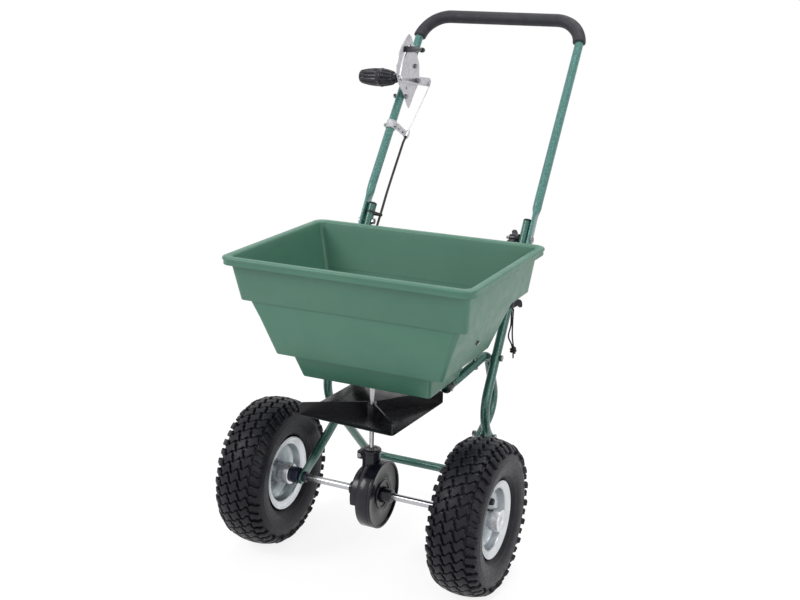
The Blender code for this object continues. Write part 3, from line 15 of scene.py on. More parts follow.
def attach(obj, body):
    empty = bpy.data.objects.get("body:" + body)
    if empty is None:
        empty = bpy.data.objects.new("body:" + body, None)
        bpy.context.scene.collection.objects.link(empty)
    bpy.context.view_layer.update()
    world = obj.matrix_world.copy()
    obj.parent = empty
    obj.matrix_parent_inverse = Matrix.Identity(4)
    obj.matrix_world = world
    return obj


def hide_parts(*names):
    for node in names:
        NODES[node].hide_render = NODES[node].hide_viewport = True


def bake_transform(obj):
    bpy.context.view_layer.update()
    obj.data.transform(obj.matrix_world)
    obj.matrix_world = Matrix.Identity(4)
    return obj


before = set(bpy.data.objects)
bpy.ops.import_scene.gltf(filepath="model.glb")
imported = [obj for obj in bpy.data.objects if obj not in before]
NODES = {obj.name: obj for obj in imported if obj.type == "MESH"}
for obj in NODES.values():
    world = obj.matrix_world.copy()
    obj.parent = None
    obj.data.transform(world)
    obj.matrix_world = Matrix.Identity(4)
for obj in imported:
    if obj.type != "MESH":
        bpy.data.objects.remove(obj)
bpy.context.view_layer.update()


def vec(x, y, z):
    return Vector((x, y, z))


def mm(*rows):
    """Rows of millimetres as rows of metres."""
    return [tuple(value / 1000 for value in row) for row in rows]


SHIFT = vec(0, -0.2112, 0)
SIDES = (("left", 1), ("right", -1))
GAP = 0.0003
ORIGIN = (0, 0, 0)
ALONG_X = (1, 0, 0)
UP = (0, 0, 1)

# Camera, as found from the photograph. The angles are azimuth, elevation and roll, in degrees.
IMAGE_WIDTH = 800
IMAGE_HEIGHT = 600
CAMERA_ANGLES = (26.53, 16.47, 0.62)
CAMERA_DISTANCE = 1.9598
CAMERA_AIM = vec(-0.0006, 0, 0.4551)
FOCAL_PIXELS = 1207.64
PRINCIPAL_POINT = (372.88, 308.1)

# Light: each lamp has a name, a place, a point to aim at, a size and a power
WORLD_LEVEL = 0.42
LAMPS = (
    ("key_lamp", (-2.2, -2.6, 2.8), (0, -0.1, 0.4), 1.6, 62),
    ("fill_lamp", (2.6, -1.8, 1.6), (0, 0, 0.4), 1.8, 20),
    ("top_lamp", (0.3, 0.6, 3.2), (0, 0, 0.4), 1.8, 38),
)
FLOOR_FADE = (0.55, 1.6)
FLOOR_GLOW = 0.83
FLOOR_SHADE = 0.28

# Frame and handle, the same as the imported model's. Flat places are (y, z).
TUBE_RADIUS = 0.008
FRAME_X = 0.1525
FRAME_TOP = (0.298, 0.557)
FRAME_BOW = (0.1073, 0.2499)
FRAME_STAND = (0.297, 0.057)
FRAME_SLOPE = (FRAME_TOP[0] - FRAME_BOW[0]) / (FRAME_TOP[1] - FRAME_BOW[1])
FRAME_ALONG = vec(0, FRAME_SLOPE, 1).normalized()
STRUT_X = FRAME_X - 2 * TUBE_RADIUS - GAP
STRUT_END_X = 0.1335
STRUT_FRONT = vec(0.1085, 0.06, 0.3182)
STRUT_PAST_AXLE = 0.013
STRUT_FLAT_LENGTH = 0.059
HANDLE_X = 0.161
HANDLE_FLAT_X = FRAME_X + TUBE_RADIUS + 0.0033
HANDLE_BOLTS = ((0.281, 0.53), (0.266, 0.5058))
HANDLE_FOOT = 0.01
KNEE = (0.3182, 0.59)
HANDLE_TOP = (0.541, 0.89)
GRIP_START_Z = 0.8517
GRIP_RADIUS = 0.0119
FINE_STEP = 0.004

# Hopper: half width, front, rear and corner radius, with the height first in the tiers
RIM = (0.2203, -0.1183, 0.2117, 0.019)
RIM_TOP = 0.5406
TIERS = (
    mm((525, 209, -106, 199, 9), (464, 199.5, -87.5, 187, 8)),
    mm((464, 185, -80, 173, 7.5), (371, 150, -60, 140, 7)),
    mm((371, 126, -48, 119, 6.5), (328, 116.5, -29, 93, 6)),
)
INSIDE_TIERS = ((TIERS[0][0], TIERS[1][1]), TIERS[2])
WALL = 0.003
STEP_SOFTNESS = 0.001

# Wheels, axle and gearbox. Tyre and rim places are (distance from the centre plane, radius).
WHEEL_RADIUS = 0.13
AXLE = vec(0, 0, WHEEL_RADIUS)
TRACK = 0.391
AXLE_BORE = 0.006 + GAP
HUB_HALF_LENGTH = 0.04
TYRE_KNOTS = mm((26.6, 52.8), (26.6, 64), (27.6, 66), (30.2, 68.4), (33.8, 71.6), (37.6, 77.2), (40.7, 85),
                (42.1, 94), (41.7, 103), (39.2, 110.8), (33.8, 116.8), (25, 121.6), (13, 124.6), (0, 125.4))
TYRE_INSIDE = mm((18, 52.8), (18, 69), (30, 80), (37.2, 96), (33, 110), (18, 119), (0, 121.5))
SIDEWALL_RINGS = mm((74.2, 0.7, 0.9), (98.5, 0.5, 1))
BLOCK_COUNT = 44
BLOCK_PITCH = 2 * pi / BLOCK_COUNT
BLOCK_GRID = (7, 5)
BLOCK_ROWS = ((0, 0), (0.018, 0.5), (-0.018, 0.5))
RIM_HALF = mm((10, 52.5), (26.2, 52.5), (27.2, 53.4), (27.6, 56), (28, 62), (28.8, 64), (30.2, 64.8),
              (31.6, 64.5), (32, 63.4), (31.4, 62.2), (30.2, 60), (29.6, 56), (29, 53), (27.8, 51.2),
              (25.8, 50.5), (15, 50.3), (12.8, 49.8), (10.8, 48.6), (8.5, 46.2), (5.5, 42), (3.8, 38.5),
              (2.8, 35), (2.4, 30), (2.3, 22.2), (2.6, 20.6), (3.6, 19), (5.2, 18.1), (7, 18.4), (39, 18.4),
              (39.7, 18.1), (40, 17.6), (40, 6.7), (39.4, 6.1))
IMPELLER_CORNER = 0.1252
IMPELLER_TURN = radians(-3.5)
IMPELLER_LOW = 0.271
IMPELLER_RISE = 0.012
IMPELLER_THICKNESS = 0.002

# Flow control
PLATE_X = -(HANDLE_X - TUBE_RADIUS)
LEVER_PIVOT = (0.4774, 0.7704)
LEVER_REACH = 0.0745
LEVER_REST = radians(172)
LEVER_TAIL = 0.058
KNOB_RIBS = 12
KNOB_RIB_DEPTH = 0.0021
SHEATH_TOP = vec(-0.142, 0.4155, 0.669)
WIRE_END_Z = 0.311
PLATE_FACING = vec(0.45, -0.85, 0.3)


# ---- materials
def add_node(tree, kind, output, *values, setting=None, **named):
    """One output of a new shader node. Inputs are constants or sockets, in order or by name."""
    node = tree.nodes.new(f"ShaderNode{kind}")
    if setting:
        setattr(node, *setting)
    inputs = dict(enumerate(values))
    inputs.update((name.replace("_", " "), value) for name, value in named.items())
    for key, value in inputs.items():
        if isinstance(value, bpy.types.NodeSocket):
            tree.links.new(value, node.inputs[key])
        else:
            node.inputs[key].default_value = value
    return node.outputs[output]


class Finish:
    """Short calls for building one procedural material."""

    def __init__(self, name, roughness, metallic=0):
        self.material = bpy.data.materials.new(name)
        self.material.use_nodes = True
        self.tree = self.material.node_tree
        self.shader = self.tree.nodes["Principled BSDF"]
        self.shader.inputs["Roughness"].default_value = roughness
        self.shader.inputs["Metallic"].default_value = metallic
        self.add = partial(add_node, self.tree)
        self.place = self.add("TexCoord", "Object")

    def noise(self, scale, detail, stretch=None):
        place = self.add("Mapping", "Vector", self.place, Scale=stretch) if stretch else self.place
        return self.add("TexNoise", "Fac", Scale=scale, Detail=detail, Vector=place)

    def ramp(self, value, *stops):
        """stops are (position, colour) pairs."""
        ramped = self.add("ValToRGB", "Color", value)
        elements = ramped.node.color_ramp.elements
        while len(elements) < len(stops):
            elements.new(0.5)
        for element, (position, colour) in zip(elements, stops):
            element.position = position
            element.color = (*colour, 1)
        return ramped

    def between(self, value, low, high, from_low=0.3, from_high=0.7):
        return self.add("MapRange", "Result", value, from_low, from_high, low, high)

    def blended(self, factor, one, two):
        return self.add("Mix", "Result", setting=("data_type", "RGBA"), Factor=factor, A=one, B=two)

    def radius_from(self, centre):
        """Distance from a line through centre along X, in tenths of a metre."""
        shifted = self.add("Mapping", "Vector", self.place, Scale=(0, 10, 10),
                           Location=(0, -10 * centre.y, -10 * centre.z))
        return self.add("VectorMath", "Value", shifted, setting=("operation", "LENGTH"))

    def finished(self, colour, roughness, bump, **constants):
        """Links the shader and sets its constants. bump is a height, a strength and a distance."""
        height, strength, distance = bump
        normal = self.add("Bump", "Normal", Strength=strength, Distance=distance, Height=height)
        for name, socket in (("Base Color", colour), ("Roughness", roughness), ("Normal", normal)):
            self.tree.links.new(socket, self.shader.inputs[name])
        for name, value in constants.items():
            self.shader.inputs[name.replace("_", " ")].default_value = value
        return self.material


def hammertone(name, deep, pale, spark):
    made = Finish(name, 0.26, 0.25)
    blotches = made.add("TexVoronoi", "Distance", made.place, Scale=560, setting=("feature", "SMOOTH_F1"))
    fine = made.noise(900, 2)
    base = made.ramp(blotches, (0.18, pale), (0.62, deep))
    speckle = made.ramp(fine, (0.56, (0, 0, 0)), (0.66, (1, 1, 1)))
    light = made.ramp(fine, (0.58, pale), (0.74, spark))
    return made.finished(made.blended(speckle, base, light), made.between(blotches, 0.2, 0.38, 0.1, 0.8),
                         (blotches, 0.35, 0.0004), Coat_Weight=0.45, Coat_Roughness=0.12)


def mottled(name, base, grain, stops, rough, bump, rough_grain=None, metallic=0, specular=0.5, stretch=None):
    """Two tints mixed by a noise. A grain is (scale, detail), and None takes the first noise again. rough is
    the roughness's low and high end, and bump a grain, a strength and a distance."""
    made = Finish(name, base, metallic)
    mottle = made.noise(*grain, stretch)
    bump_grain, strength, distance = bump
    sheen = made.noise(*rough_grain) if rough_grain else mottle
    height = made.noise(*bump_grain, stretch) if bump_grain else mottle
    return made.finished(made.ramp(mottle, *stops), made.between(sheen, *rough), (height, strength, distance),
                         Specular_IOR_Level=specular)


def zinc(name, low, high, rough, grain=110, stretch=None):
    return mottled(name, rough[0], (grain, 4), ((0.32, low), (0.68, high)), rough,
                   ((grain * 9, 2), 0.06, 0.0002), metallic=1, stretch=stretch)


def rim_zinc_painted_shade():
    """Bright plated steel with painted light: painted shade and dark reflections in the recessed dish, and a
    painted highlight on the hub and the flange.
    """
    made = Finish("rim_zinc_painted_shade", 0.2, 1)
    mottle = made.noise(34, 3)
    reach = made.radius_from(AXLE + SHIFT)
    # Painted shade and highlight: the ramp by radius darkens the dish and lightens the hub and the flange
    shade_bounds = (0.185, 0.21, 0.44, 0.52)
    bright, dull = (made.ramp(reach, *zip(shade_bounds, tints)) for tints in (
        ((0.7, 0.71, 0.73), (0.34, 0.38, 0.4), (0.38, 0.42, 0.44), (0.66, 0.68, 0.7)),
        ((0.6, 0.61, 0.63), (0.24, 0.28, 0.3), (0.28, 0.32, 0.34), (0.58, 0.6, 0.62))))
    return made.finished(made.blended(made.between(mottle, 0, 1), bright, dull),
                         made.between(mottle, 0.24, 0.36), (made.noise(260, 2), 0.04, 0.0002))


def dark(name, low, high, rough, grain=90):
    return mottled(name, rough[0], (grain, 3), ((0.34, low), (0.7, high)), rough,
                   ((grain * 8, 2), 0.1, 0.0003), specular=0.4)


FINISHES = {
    # One hammertone green in two copies: the handle's lighter tints are painted light and the frame's darker
    # tints are painted shade
    "handle_paint": (hammertone("handle_hammertone_painted_light", (0.026, 0.125, 0.106), (0.09, 0.28, 0.25),
                                (0.42, 0.62, 0.6)), "hammertone_green"),
    "paint": (hammertone("frame_hammertone_painted_shade", (0.01, 0.07, 0.052), (0.036, 0.16, 0.125), (0.26, 0.45, 0.39)),
              "hammertone_green"),
    "hopper": (mottled("hopper_plastic", 0.42, (9, 3),
                       ((0.3, (0.064, 0.19, 0.13)), (0.7, (0.078, 0.216, 0.15))),
                       (0.36, 0.47), ((1500, 2), 0.1, 0.0002), (60, 2)), "hopper_green"),
    "foam": (mottled("black_foam_grip", 0.62, (1300, 3),
                     ((0.35, (0.008, 0.008, 0.012)), (0.7, (0.026, 0.026, 0.036))),
                     (0.52, 0.7), (None, 0.3, 0.0004), (70, 3)), "black_foam"),
    "zinc": (zinc("zinc_plate", (0.42, 0.42, 0.45), (0.56, 0.56, 0.59), (0.24, 0.38)), "zinc"),
    "rim": (rim_zinc_painted_shade(), "zinc"),
    "bolt": (zinc("bolt_zinc", (0.16, 0.16, 0.17), (0.38, 0.38, 0.39), (0.2, 0.34), 300), "zinc"),
    "steel": (zinc("turned_steel", (0.4, 0.4, 0.42), (0.56, 0.56, 0.58), (0.16, 0.26), 160, (12, 1, 1)),
              "polished_steel"),
    "plastic": (dark("black_moulding", (0.0045, 0.0048, 0.0095), (0.0095, 0.01, 0.0185), (0.17, 0.28)),
                "black_plastic"),
    "dull_plastic": (dark("dull_black_moulding", (0.0032, 0.0032, 0.005), (0.0075, 0.0075, 0.0105),
                          (0.24, 0.36)), "black_plastic"),
    "collar": (dark("blue_black_moulding", (0.008, 0.01, 0.03), (0.016, 0.018, 0.046), (0.24, 0.36)),
               "black_plastic"),
    "tyre": (mottled("tyre_rubber_detail", 0.55, (55, 5),
                     ((0.34, (0.0066, 0.0066, 0.0096)), (0.72, (0.0155, 0.0155, 0.022))),
                     (0.34, 0.52), ((700, 3), 0.18, 0.0004), (240, 3), specular=0.22), "tyre_rubber"),
    "rubber": (dark("black_rubber_detail", (0.005, 0.005, 0.006), (0.013, 0.013, 0.0145), (0.4, 0.56), 160),
               "black_rubber"),
    "nylon": (mottled("gear_nylon_detail", 0.45, (80, 3),
                      ((0.35, (0.66, 0.64, 0.56)), (0.7, (0.78, 0.76, 0.69))),
                      (0.38, 0.52), ((900, 3), 0.05, 0.0002)), "gear_nylon"),
    "cord": (mottled("braided_cord", 0.75, (1800, 2),
                     ((0.35, (0.003, 0.003, 0.004)), (0.7, (0.014, 0.014, 0.016))),
                     (0.6, 0.85), (None, 0.6, 0.0005), stretch=(1, 1, 0.45)), "black_cord"),
}


# ---- pieces
def mesh_from(name, bm):
    mesh = bpy.data.meshes.new(name)
    bm.to_mesh(mesh)
    bm.free()
    return mesh


def in_scene(name, data):
    item = bpy.data.objects.new(name, data)
    bpy.context.scene.collection.objects.link(item)
    return item


def in_place(bm):
    """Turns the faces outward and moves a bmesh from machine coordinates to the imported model's."""
    bmesh.ops.recalc_face_normals(bm, faces=bm.faces)
    bmesh.ops.translate(bm, vec=SHIFT, verts=bm.verts)
    return bm


def make_piece(name, bm, finish, body, node, sharp=38):
    mesh = mesh_from(name, bm)
    mesh.shade_smooth()
    mesh.set_sharp_from_angle(angle=radians(sharp))
    material, slot = FINISHES[finish]
    mesh.materials.append(material)
    piece = in_scene(name, mesh)
    if body:
        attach(piece, body)
    if node:
        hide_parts(node)
    return piece


def add_piece(name, bm, finish, body="frame", sharp=38, node=None):
    """A piece from a bmesh in machine coordinates. With a CAD node's name it stands for that node."""
    if name in NODES:
        name, node = f"{name}_detail", name
    return make_piece(name, in_place(bm), finish, body, node, sharp)


def band(bm, low, high):
    """Faces between two rings of vertices."""
    for i in range(len(low)):
        j = (i + 1) % len(low)
        bm.faces.new((low[i], low[j], high[j], high[i]))


def skin(bm, rings, closed=False):
    """Faces between rings of points. The ends are capped unless the last ring joins the first."""
    made = [[bm.verts.new(point) for point in ring] for ring in rings]
    pairs = list(zip(made, made[1:]))
    if closed:
        pairs.append((made[-1], made[0]))
    for low, high in pairs:
        band(bm, low, high)
    if not closed:
        bm.faces.new(list(reversed(made[0])))
        bm.faces.new(made[-1])


def skinned(name, rings, finish, body="frame", closed=False, sharp=38):
    bm = bmesh.new()
    skin(bm, rings, closed)
    return add_piece(name, bm, finish, body, sharp)


def edge_softened(bm, width):
    """Rounds the edges that turn by more than 32 degrees."""
    limit = radians(32)
    edges = [e for e in bm.edges if len(e.link_faces) == 2 and e.calc_face_angle(0) > limit]
    bmesh.ops.bevel(bm, geom=edges, offset=width, segments=2, profile=0.5, affect="EDGES", clamp_overlap=True)


def slab(outline, half, softness):
    """A plate that reaches from its outline by half to both sides, with softened edges."""
    bm = bmesh.new()
    skin(bm, [[p - half for p in outline], [p + half for p in outline]])
    edge_softened(bm, softness)
    return bm


def merge(bm, part):
    """Adds a bmesh to another and frees it."""
    scratch = mesh_from("scratch", part)
    bm.from_mesh(scratch)
    bpy.data.meshes.remove(scratch)


def dressed(node, finish, body, width, grow):
    """A copy of a CAD node with whole flat faces and softened edges, grown a little if asked."""
    bm = bmesh.new()
    bm.from_mesh(NODES[node].data)
    bmesh.ops.remove_doubles(bm, verts=bm.verts, dist=0.000005)
    bmesh.ops.dissolve_limit(bm, angle_limit=radians(0.6), verts=bm.verts, edges=bm.edges)
    edge_softened(bm, width)
    if grow:
        bm.normal_update()
        for vert, normal in [(v, v.normal.copy()) for v in bm.verts]:
            vert.co += normal * grow
    return make_piece(f"{node}_detail", bm, finish, body, node)


def carve(piece, bm):
    """Cuts the solids of a bmesh out of a piece and leaves no cutter behind."""
    cutter = in_scene("carving", mesh_from("carving", in_place(bm)))
    modifier = piece.modifiers.new("carving", "BOOLEAN")
    modifier.operation = "DIFFERENCE"
    modifier.solver = "EXACT"
    modifier.object = cutter
    bpy.context.view_layer.update()
    evaluated = piece.evaluated_get(bpy.context.evaluated_depsgraph_get())
    result = bpy.data.meshes.new_from_object(evaluated)
    piece.modifiers.clear()
    piece.data = result
    bpy.data.objects.remove(cutter)


# ---- turned shapes
def ring_at(centre, direction, radius, count):
    direction = Vector(direction).normalized()
    side = Vector(ALONG_X) - direction * direction.x
    if side.length < 0.2:
        side = vec(0, 1, 0) - direction * direction.y
    side.normalize()
    other = direction.cross(side)
    angles = [2 * pi * i / count for i in range(count)]
    return [Vector(centre) + radius * (cos(a) * side + sin(a) * other) for a in angles]


def turned(bm, profile, start, direction, count=48, bore=None, ring=False):
    """A solid of revolution from (distance along, radius) pairs. A ring's profile closes on itself.

    A bore makes a ring of a profile that has only the outside.
    """
    direction = Vector(direction).normalized()
    if bore:
        profile = [(profile[0][0], bore), *profile, (profile[-1][0], bore)]
    start = Vector(start)
    rings = [ring_at(start + direction * along, direction, radius, count) for along, radius in profile]
    skin(bm, rings, closed=ring or bool(bore))


def lathe(name, profile, start, direction, finish, body="frame", count=48, bore=None, ring=False, sharp=38):
    bm = bmesh.new()
    turned(bm, profile, start, direction, count, bore, ring)
    return add_piece(name, bm, finish, body, sharp)


# ---- paths and sweeps
def rounded_path(corners, radii, step_degrees=5):
    corners = [Vector(c) for c in corners]
    points = [corners[0]]
    for i, radius in enumerate(radii, start=1):
        corner = corners[i]
        back = (corners[i - 1] - corner).normalized()
        ahead = (corners[i + 1] - corner).normalized()
        turn = pi - back.angle(ahead)
        tangent = radius * tan(turn / 2)
        centre = corner + (back + ahead).normalized() * (radius / cos(turn / 2))
        first = corner + back * tangent - centre
        axis = first.cross(corner + ahead * tangent - centre).normalized()
        steps = max(2, round(degrees(turn) / step_degrees))
        for k in range(steps + 1):
            points.append(centre + Matrix.Rotation(turn * k / steps, 3, axis) @ first)
    points.append(corners[-1])
    return points


def smooth_route(route, steps):
    """Points along a Catmull-Rom curve through a given route."""
    knots = [Vector(p) for p in route]
    knots = [2 * knots[0] - knots[1]] + knots + [2 * knots[-1] - knots[-2]]
    points = []
    for i in range(1, len(knots) - 2):
        p0, p1, p2, p3 = knots[i - 1:i + 3]
        for k in range(steps):
            t = k / steps
            points.append(0.5 * (2 * p1 + (p2 - p0) * t + (2 * p0 - 5 * p1 + 4 * p2 - p3) * t * t
                                 + (3 * p1 - p0 - 3 * p2 + p3) * t ** 3))
    points.append(knots[-2])
    return points


def densified(points, spacing):
    """The same path with extra points, so that none are further apart than a spacing."""
    dense = [points[0]]
    for before, after in zip(points, points[1:]):
        parts = max(1, ceil((after - before).length / spacing))
        dense += [before.lerp(after, k / parts) for k in range(1, parts + 1)]
    return dense


def densified_ends(points, spacing):
    first, last = densified(points[:2], spacing), densified(points[-2:], spacing)
    return first[:-1] + points[1:-1] + last[1:]


def distances(points):
    run = [0]
    for before, after in zip(points, points[1:]):
        run.append(run[-1] + (after - before).length)
    return run


def smooth_step(value):
    value = min(1, max(0, value))
    return value * value * (3 - 2 * value)


def section_ring(place, half_side, half_other, squareness, count):
    point, side, other = place
    ring = []
    for i in range(count):
        angle = 2 * pi * i / count
        c, s = cos(angle), sin(angle)
        c = copysign(abs(c) ** squareness, c)
        s = copysign(abs(s) ** squareness, s)
        ring.append(point + side * half_side * c + other * half_other * s)
    return ring


def path_frames(points, keep_side=False):
    frames = []
    side = Vector(ALONG_X)
    for i, point in enumerate(points):
        before = point - points[i - 1] if i else points[1] - point
        after = points[i + 1] - point if i < len(points) - 1 else before
        tangent = (before.normalized() + after.normalized()).normalized()
        side = Vector(ALONG_X) if keep_side else side
        side = (side - tangent * side.dot(tangent)).normalized()
        frames.append((point, side, tangent.cross(side)))
    return frames


def swept(name, points, shape, finish, body="frame", count=24, keep_side=False, node=None):
    """Sweeps a section along a path. shape gives its half widths and squareness at a distance."""
    frames = path_frames(points, keep_side)
    bm = bmesh.new()
    skin(bm, [section_ring(at, *shape(run), count) for at, run in zip(frames, distances(points))])
    return add_piece(name, bm, finish, body, node=node)


def pipe(name, points, radius, finish, body="frame", count=24, node=None):
    return swept(name, points, lambda run: (radius, radius, 1), finish, body, count, node=node)


def mirrored(point, side):
    return vec(point[0] * side, point[1], point[2])


def both_sides(half):
    """Corners on the left, and then the same on the right in reverse order."""
    return half + [mirrored(p, -1) for p in reversed(half)]


def on_side(side, flat, x):
    return vec(side * x, flat[0], flat[1])


# ---- tubes and grip
def build_frame_tube():
    corners = both_sides([on_side(1, flat, FRAME_X) for flat in (FRAME_TOP, FRAME_BOW, FRAME_STAND)])
    pipe("frame_tube", rounded_path(corners, (0.065, 0.038, 0.038, 0.065)), TUBE_RADIUS, "paint")
    for name, side in SIDES:
        top, bow = on_side(side, FRAME_TOP, FRAME_X), on_side(side, FRAME_BOW, FRAME_X)
        plug = mm((0.3, 7.8), (0.5, 8.1), (2.6, 8.1), (3.8, 7.4), (4.5, 6))
        lathe(f"tube_plug_{name}", plug, top, top - bow, "plastic", count=32)


def flattened(share, thin, broad):
    """A tube's half thickness, half width and squareness where it is pressed flat by a share."""
    return (thin + (TUBE_RADIUS - thin) * (1 - share), TUBE_RADIUS + (broad - TUBE_RADIUS) * share,
            1 - 0.4 * share)


def build_struts():
    corners = (STRUT_FRONT, (0.1085, 0.09, 0.3182), (STRUT_X, 0.1692, 0.351), (STRUT_X, 0.2192, 0.2411),
               (STRUT_END_X, 0, WHEEL_RADIUS))
    for name, side in SIDES:
        points = rounded_path([mirrored(corner, side) for corner in corners], (0.03, 0.018, 0.045))
        ahead = (points[-1] - points[-2]).normalized()
        points[-1] = points[-1] + ahead * STRUT_PAST_AXLE
        points = points[:-1] + densified(points[-2:], FINE_STEP)[1:]
        end = distances(points)[-1]

        def shape(run):
            share = smooth_step((run - (end - STRUT_FLAT_LENGTH)) / 0.02)
            nose = min(1, sqrt(max(0, 1 - max(0, (run - (end - 0.01)) / 0.0115) ** 2)))
            thin, broad, squareness = flattened(share, 0.0025, 0.0115)
            return thin, broad * nose, squareness

        swept(f"axle_strut_{name}", points, shape, "paint", keep_side=True)
        cap = mm((-8, 6), (-7.8, 7), (-6.8, 8.6), (-5.2, 9.4), (-4, 9.5), (8.6, 9.5), (9, 9.2), (9, 8.6),
                 (-0.3, 8.6), (-0.3, 6))
        front = mirrored(STRUT_FRONT, side)
        lathe(f"strut_cap_{name}", cap, front, (0, 1, 0), "plastic", count=32, ring=True)


def handle_path():
    (high_y, high_z), (low_y, low_z) = HANDLE_BOLTS
    slope = (high_y - low_y) / (high_z - low_z)
    foot = (low_y - HANDLE_FOOT * slope, low_z - HANDLE_FOOT)
    corners = ((foot, HANDLE_FLAT_X), (KNEE, HANDLE_FLAT_X), (HANDLE_TOP, HANDLE_X))
    half = [on_side(1, *corner) for corner in corners]
    points = rounded_path(both_sides(half), (0.06, 0.055, 0.055, 0.06))
    flat_length = (KNEE[1] - foot[1]) * hypot(1, slope) - 0.028
    return densified_ends(points, FINE_STEP), flat_length


def build_handle():
    points, flat_length = handle_path()
    end = distances(points)[-1]

    def shape(run):
        share = 1 - smooth_step((min(run, end - run) - flat_length) / 0.016)
        return flattened(share, 0.003, 0.0112)

    swept("handle_tube", points, shape, "handle_paint")

    covered = [p for p in points if p.z > GRIP_START_Z + 0.0005]
    before = points[points.index(covered[0]) - 1]
    start = before.lerp(covered[0], (GRIP_START_Z - before.z) / (covered[0].z - before.z))
    covered = densified_ends([start] + covered + [mirrored(start, -1)], 0.0006)
    length = distances(covered)[-1]
    frames = path_frames(covered)

    def outside(run):
        """The foam is a little uneven, and rounded over 1.6 mm at its ends."""
        edge = min(run, length - run)
        swell = GRIP_RADIUS + 0.00012 * sin(run * 71) + 0.0001 * sin(run * 173 + 1)
        return swell - 0.0016 * (1 - min(1, edge / 0.0016)) ** 2

    bore = TUBE_RADIUS + GAP
    rings = [section_ring(f, outside(d), outside(d), 1, 32) for f, d in zip(frames, distances(covered))]
    rings += [section_ring(f, bore, bore, 1, 32) for f in reversed(frames)]
    skinned("handle_grip", rings, "foam", closed=True, sharp=60)


# ---- hopper
def rounded_rectangle(half, front, rear, radius, z, steps=9):
    left, front, rear = half - radius, front + radius, rear - radius
    points = []
    for x, y, start in ((left, rear, 0), (-left, rear, 90), (-left, front, 180), (left, front, 270)):
        for k in range(steps + 1):
            angle = radians(start + 90 * k / steps)
            points.append(vec(x + radius * cos(angle), y + radius * sin(angle), z))
    return points


def level_between(upper, lower, z):
    """A tier's outline at a height between its two ends."""
    share = (upper[0] - z) / (upper[0] - lower[0])
    return [a + (b - a) * share for a, b in zip(upper[1:], lower[1:])]


def outline_at(level, z, inset):
    half, front, rear, corner = level
    return rounded_rectangle(half - inset, front + inset, rear - inset, max(0.004, corner - inset * 0.6), z)


def shell_rings(tiers, inset):
    """One skin of the hopper from the top down, with softened steps."""
    rings = []
    soft = STEP_SOFTNESS
    lift = WALL if inset else 0
    for index, (upper, lower) in enumerate(tiers):
        high_z, low_z = upper[0], lower[0] + lift
        if index:
            step_z = upper[0] + lift
            high_z = step_z - soft
            rings.append(outline_at(upper[1:], step_z, inset + soft))
            rings.append(outline_at(upper[1:], step_z - soft * 0.3, inset + soft * 0.3))
        for z in (high_z, low_z + soft):
            rings.append(outline_at(level_between(upper, lower, min(z, upper[0])), z, inset))
        rings.append(outline_at(lower[1:], low_z + soft * 0.3, inset + soft * 0.3))
        rings.append(outline_at(lower[1:], low_z, inset + soft))
    return rings


def build_hopper():
    half, front, rear, corner = RIM

    def rim_ring(inset, drop):
        return rounded_rectangle(half - inset, front + inset, rear - inset, corner - inset * 0.4,
                                 RIM_TOP - drop)

    under = rim_ring(0.004, WALL + 0.0006)
    rim = [rim_ring(*row) for row in mm(
        (4, 12.8), (3.6, 13.2), (2, 13.2), (1.6, 12.8), (1.6, 6.4), (1.2, 5.8), (0.3, 5), (0, 3.6),
        (0.3, 2), (1.3, 0.7), (2.8, 0), (9.8, 0), (11.8, 0.4), (13.4, 1.6), (14.3, 3.6))]
    outside = shell_rings(TIERS, 0)[:0:-1] + [rounded_rectangle(*TIERS[0][0][1:], RIM_TOP - WALL)]
    hopper = skinned("hopper", outside + [under] + rim + shell_rings(INSIDE_TIERS, WALL), "hopper", sharp=42)
    carve(hopper, hopper_holes())
    hopper.data.set_sharp_from_angle(angle=radians(42))


def hopper_holes():
    """Cutters for the floor's two outlets, the guide's bolts and the shaft."""
    heights = (0.323, 0.336)
    bm = bmesh.new()
    for side in (-1, 1):
        skin(bm, [[p + vec(side * 0.028, 0, 0) for p in rounded_rectangle(0.016, 0.015, 0.04, 0.005, z, 4)]
                  for z in heights])
        for y in (0.015, 0.082):
            skin(bm, [ring_at((side * 0.065, y, z), UP, 0.0024, 16) for z in heights])
    skin(bm, [ring_at((0, 0, z), UP, 0.0048, 24) for z in heights])
    return bm


# ---- wheels
def tyre_profile():
    """The carcass outside from the bead to the crown."""
    knots = TYRE_KNOTS[1:] + [(-x, r) for x, r in reversed(TYRE_KNOTS[10:13])]
    points = [Vector(TYRE_KNOTS[0])]
    for p in smooth_route(knots, 6):
        if p.x < -1e-6:
            break
        points.append(p)
    return points


def ringed(points):
    """Adds the thin moulded lines of the sidewall."""
    done = []
    for i, p in enumerate(points):
        before, after = points[max(0, i - 1)], points[min(len(points) - 1, i + 1)]
        along = (after - before).normalized()
        normal = Vector((along.y, -along.x))
        rise = sum(height * exp(-((p.y - radius) / width) ** 2) for radius, height, width in SIDEWALL_RINGS)
        done.append(p + normal * rise if p.y > 0.068 else p)
    return done


class Carcass:
    """Places points on the tyre by arc length from the crown, angle and height above the rubber."""

    def __init__(self, points):
        self.points = list(reversed(points))
        self.run = distances(self.points)

    def at(self, s, angle, height):
        sign = 1 if s >= 0 else -1
        s = abs(s)
        i = 0
        while i < len(self.run) - 2 and self.run[i + 1] < s:
            i += 1
        share = (s - self.run[i]) / (self.run[i + 1] - self.run[i])
        p = self.points[i].lerp(self.points[i + 1], share)
        lo, hi = self.points[max(0, i - 1)], self.points[min(len(self.points) - 1, i + 2)]
        along = (hi - lo).normalized() if s > 0.002 else Vector((1, 0))
        normal = Vector((-along.y, along.x)) if -along.y > 0 or along.x > 0 else Vector((along.y, -along.x))
        x, radius = p.x + normal.x * height, p.y + normal.y * height
        return vec(sign * x, radius * sin(angle), radius * cos(angle))


def hooked(value):
    """The Z of a block's edge: steep in the middle and turned back a little towards both ends."""
    reach = abs(value)
    return copysign(reach / 0.42 if reach < 0.42 else 1 - (reach - 0.42) * 0.85, value)


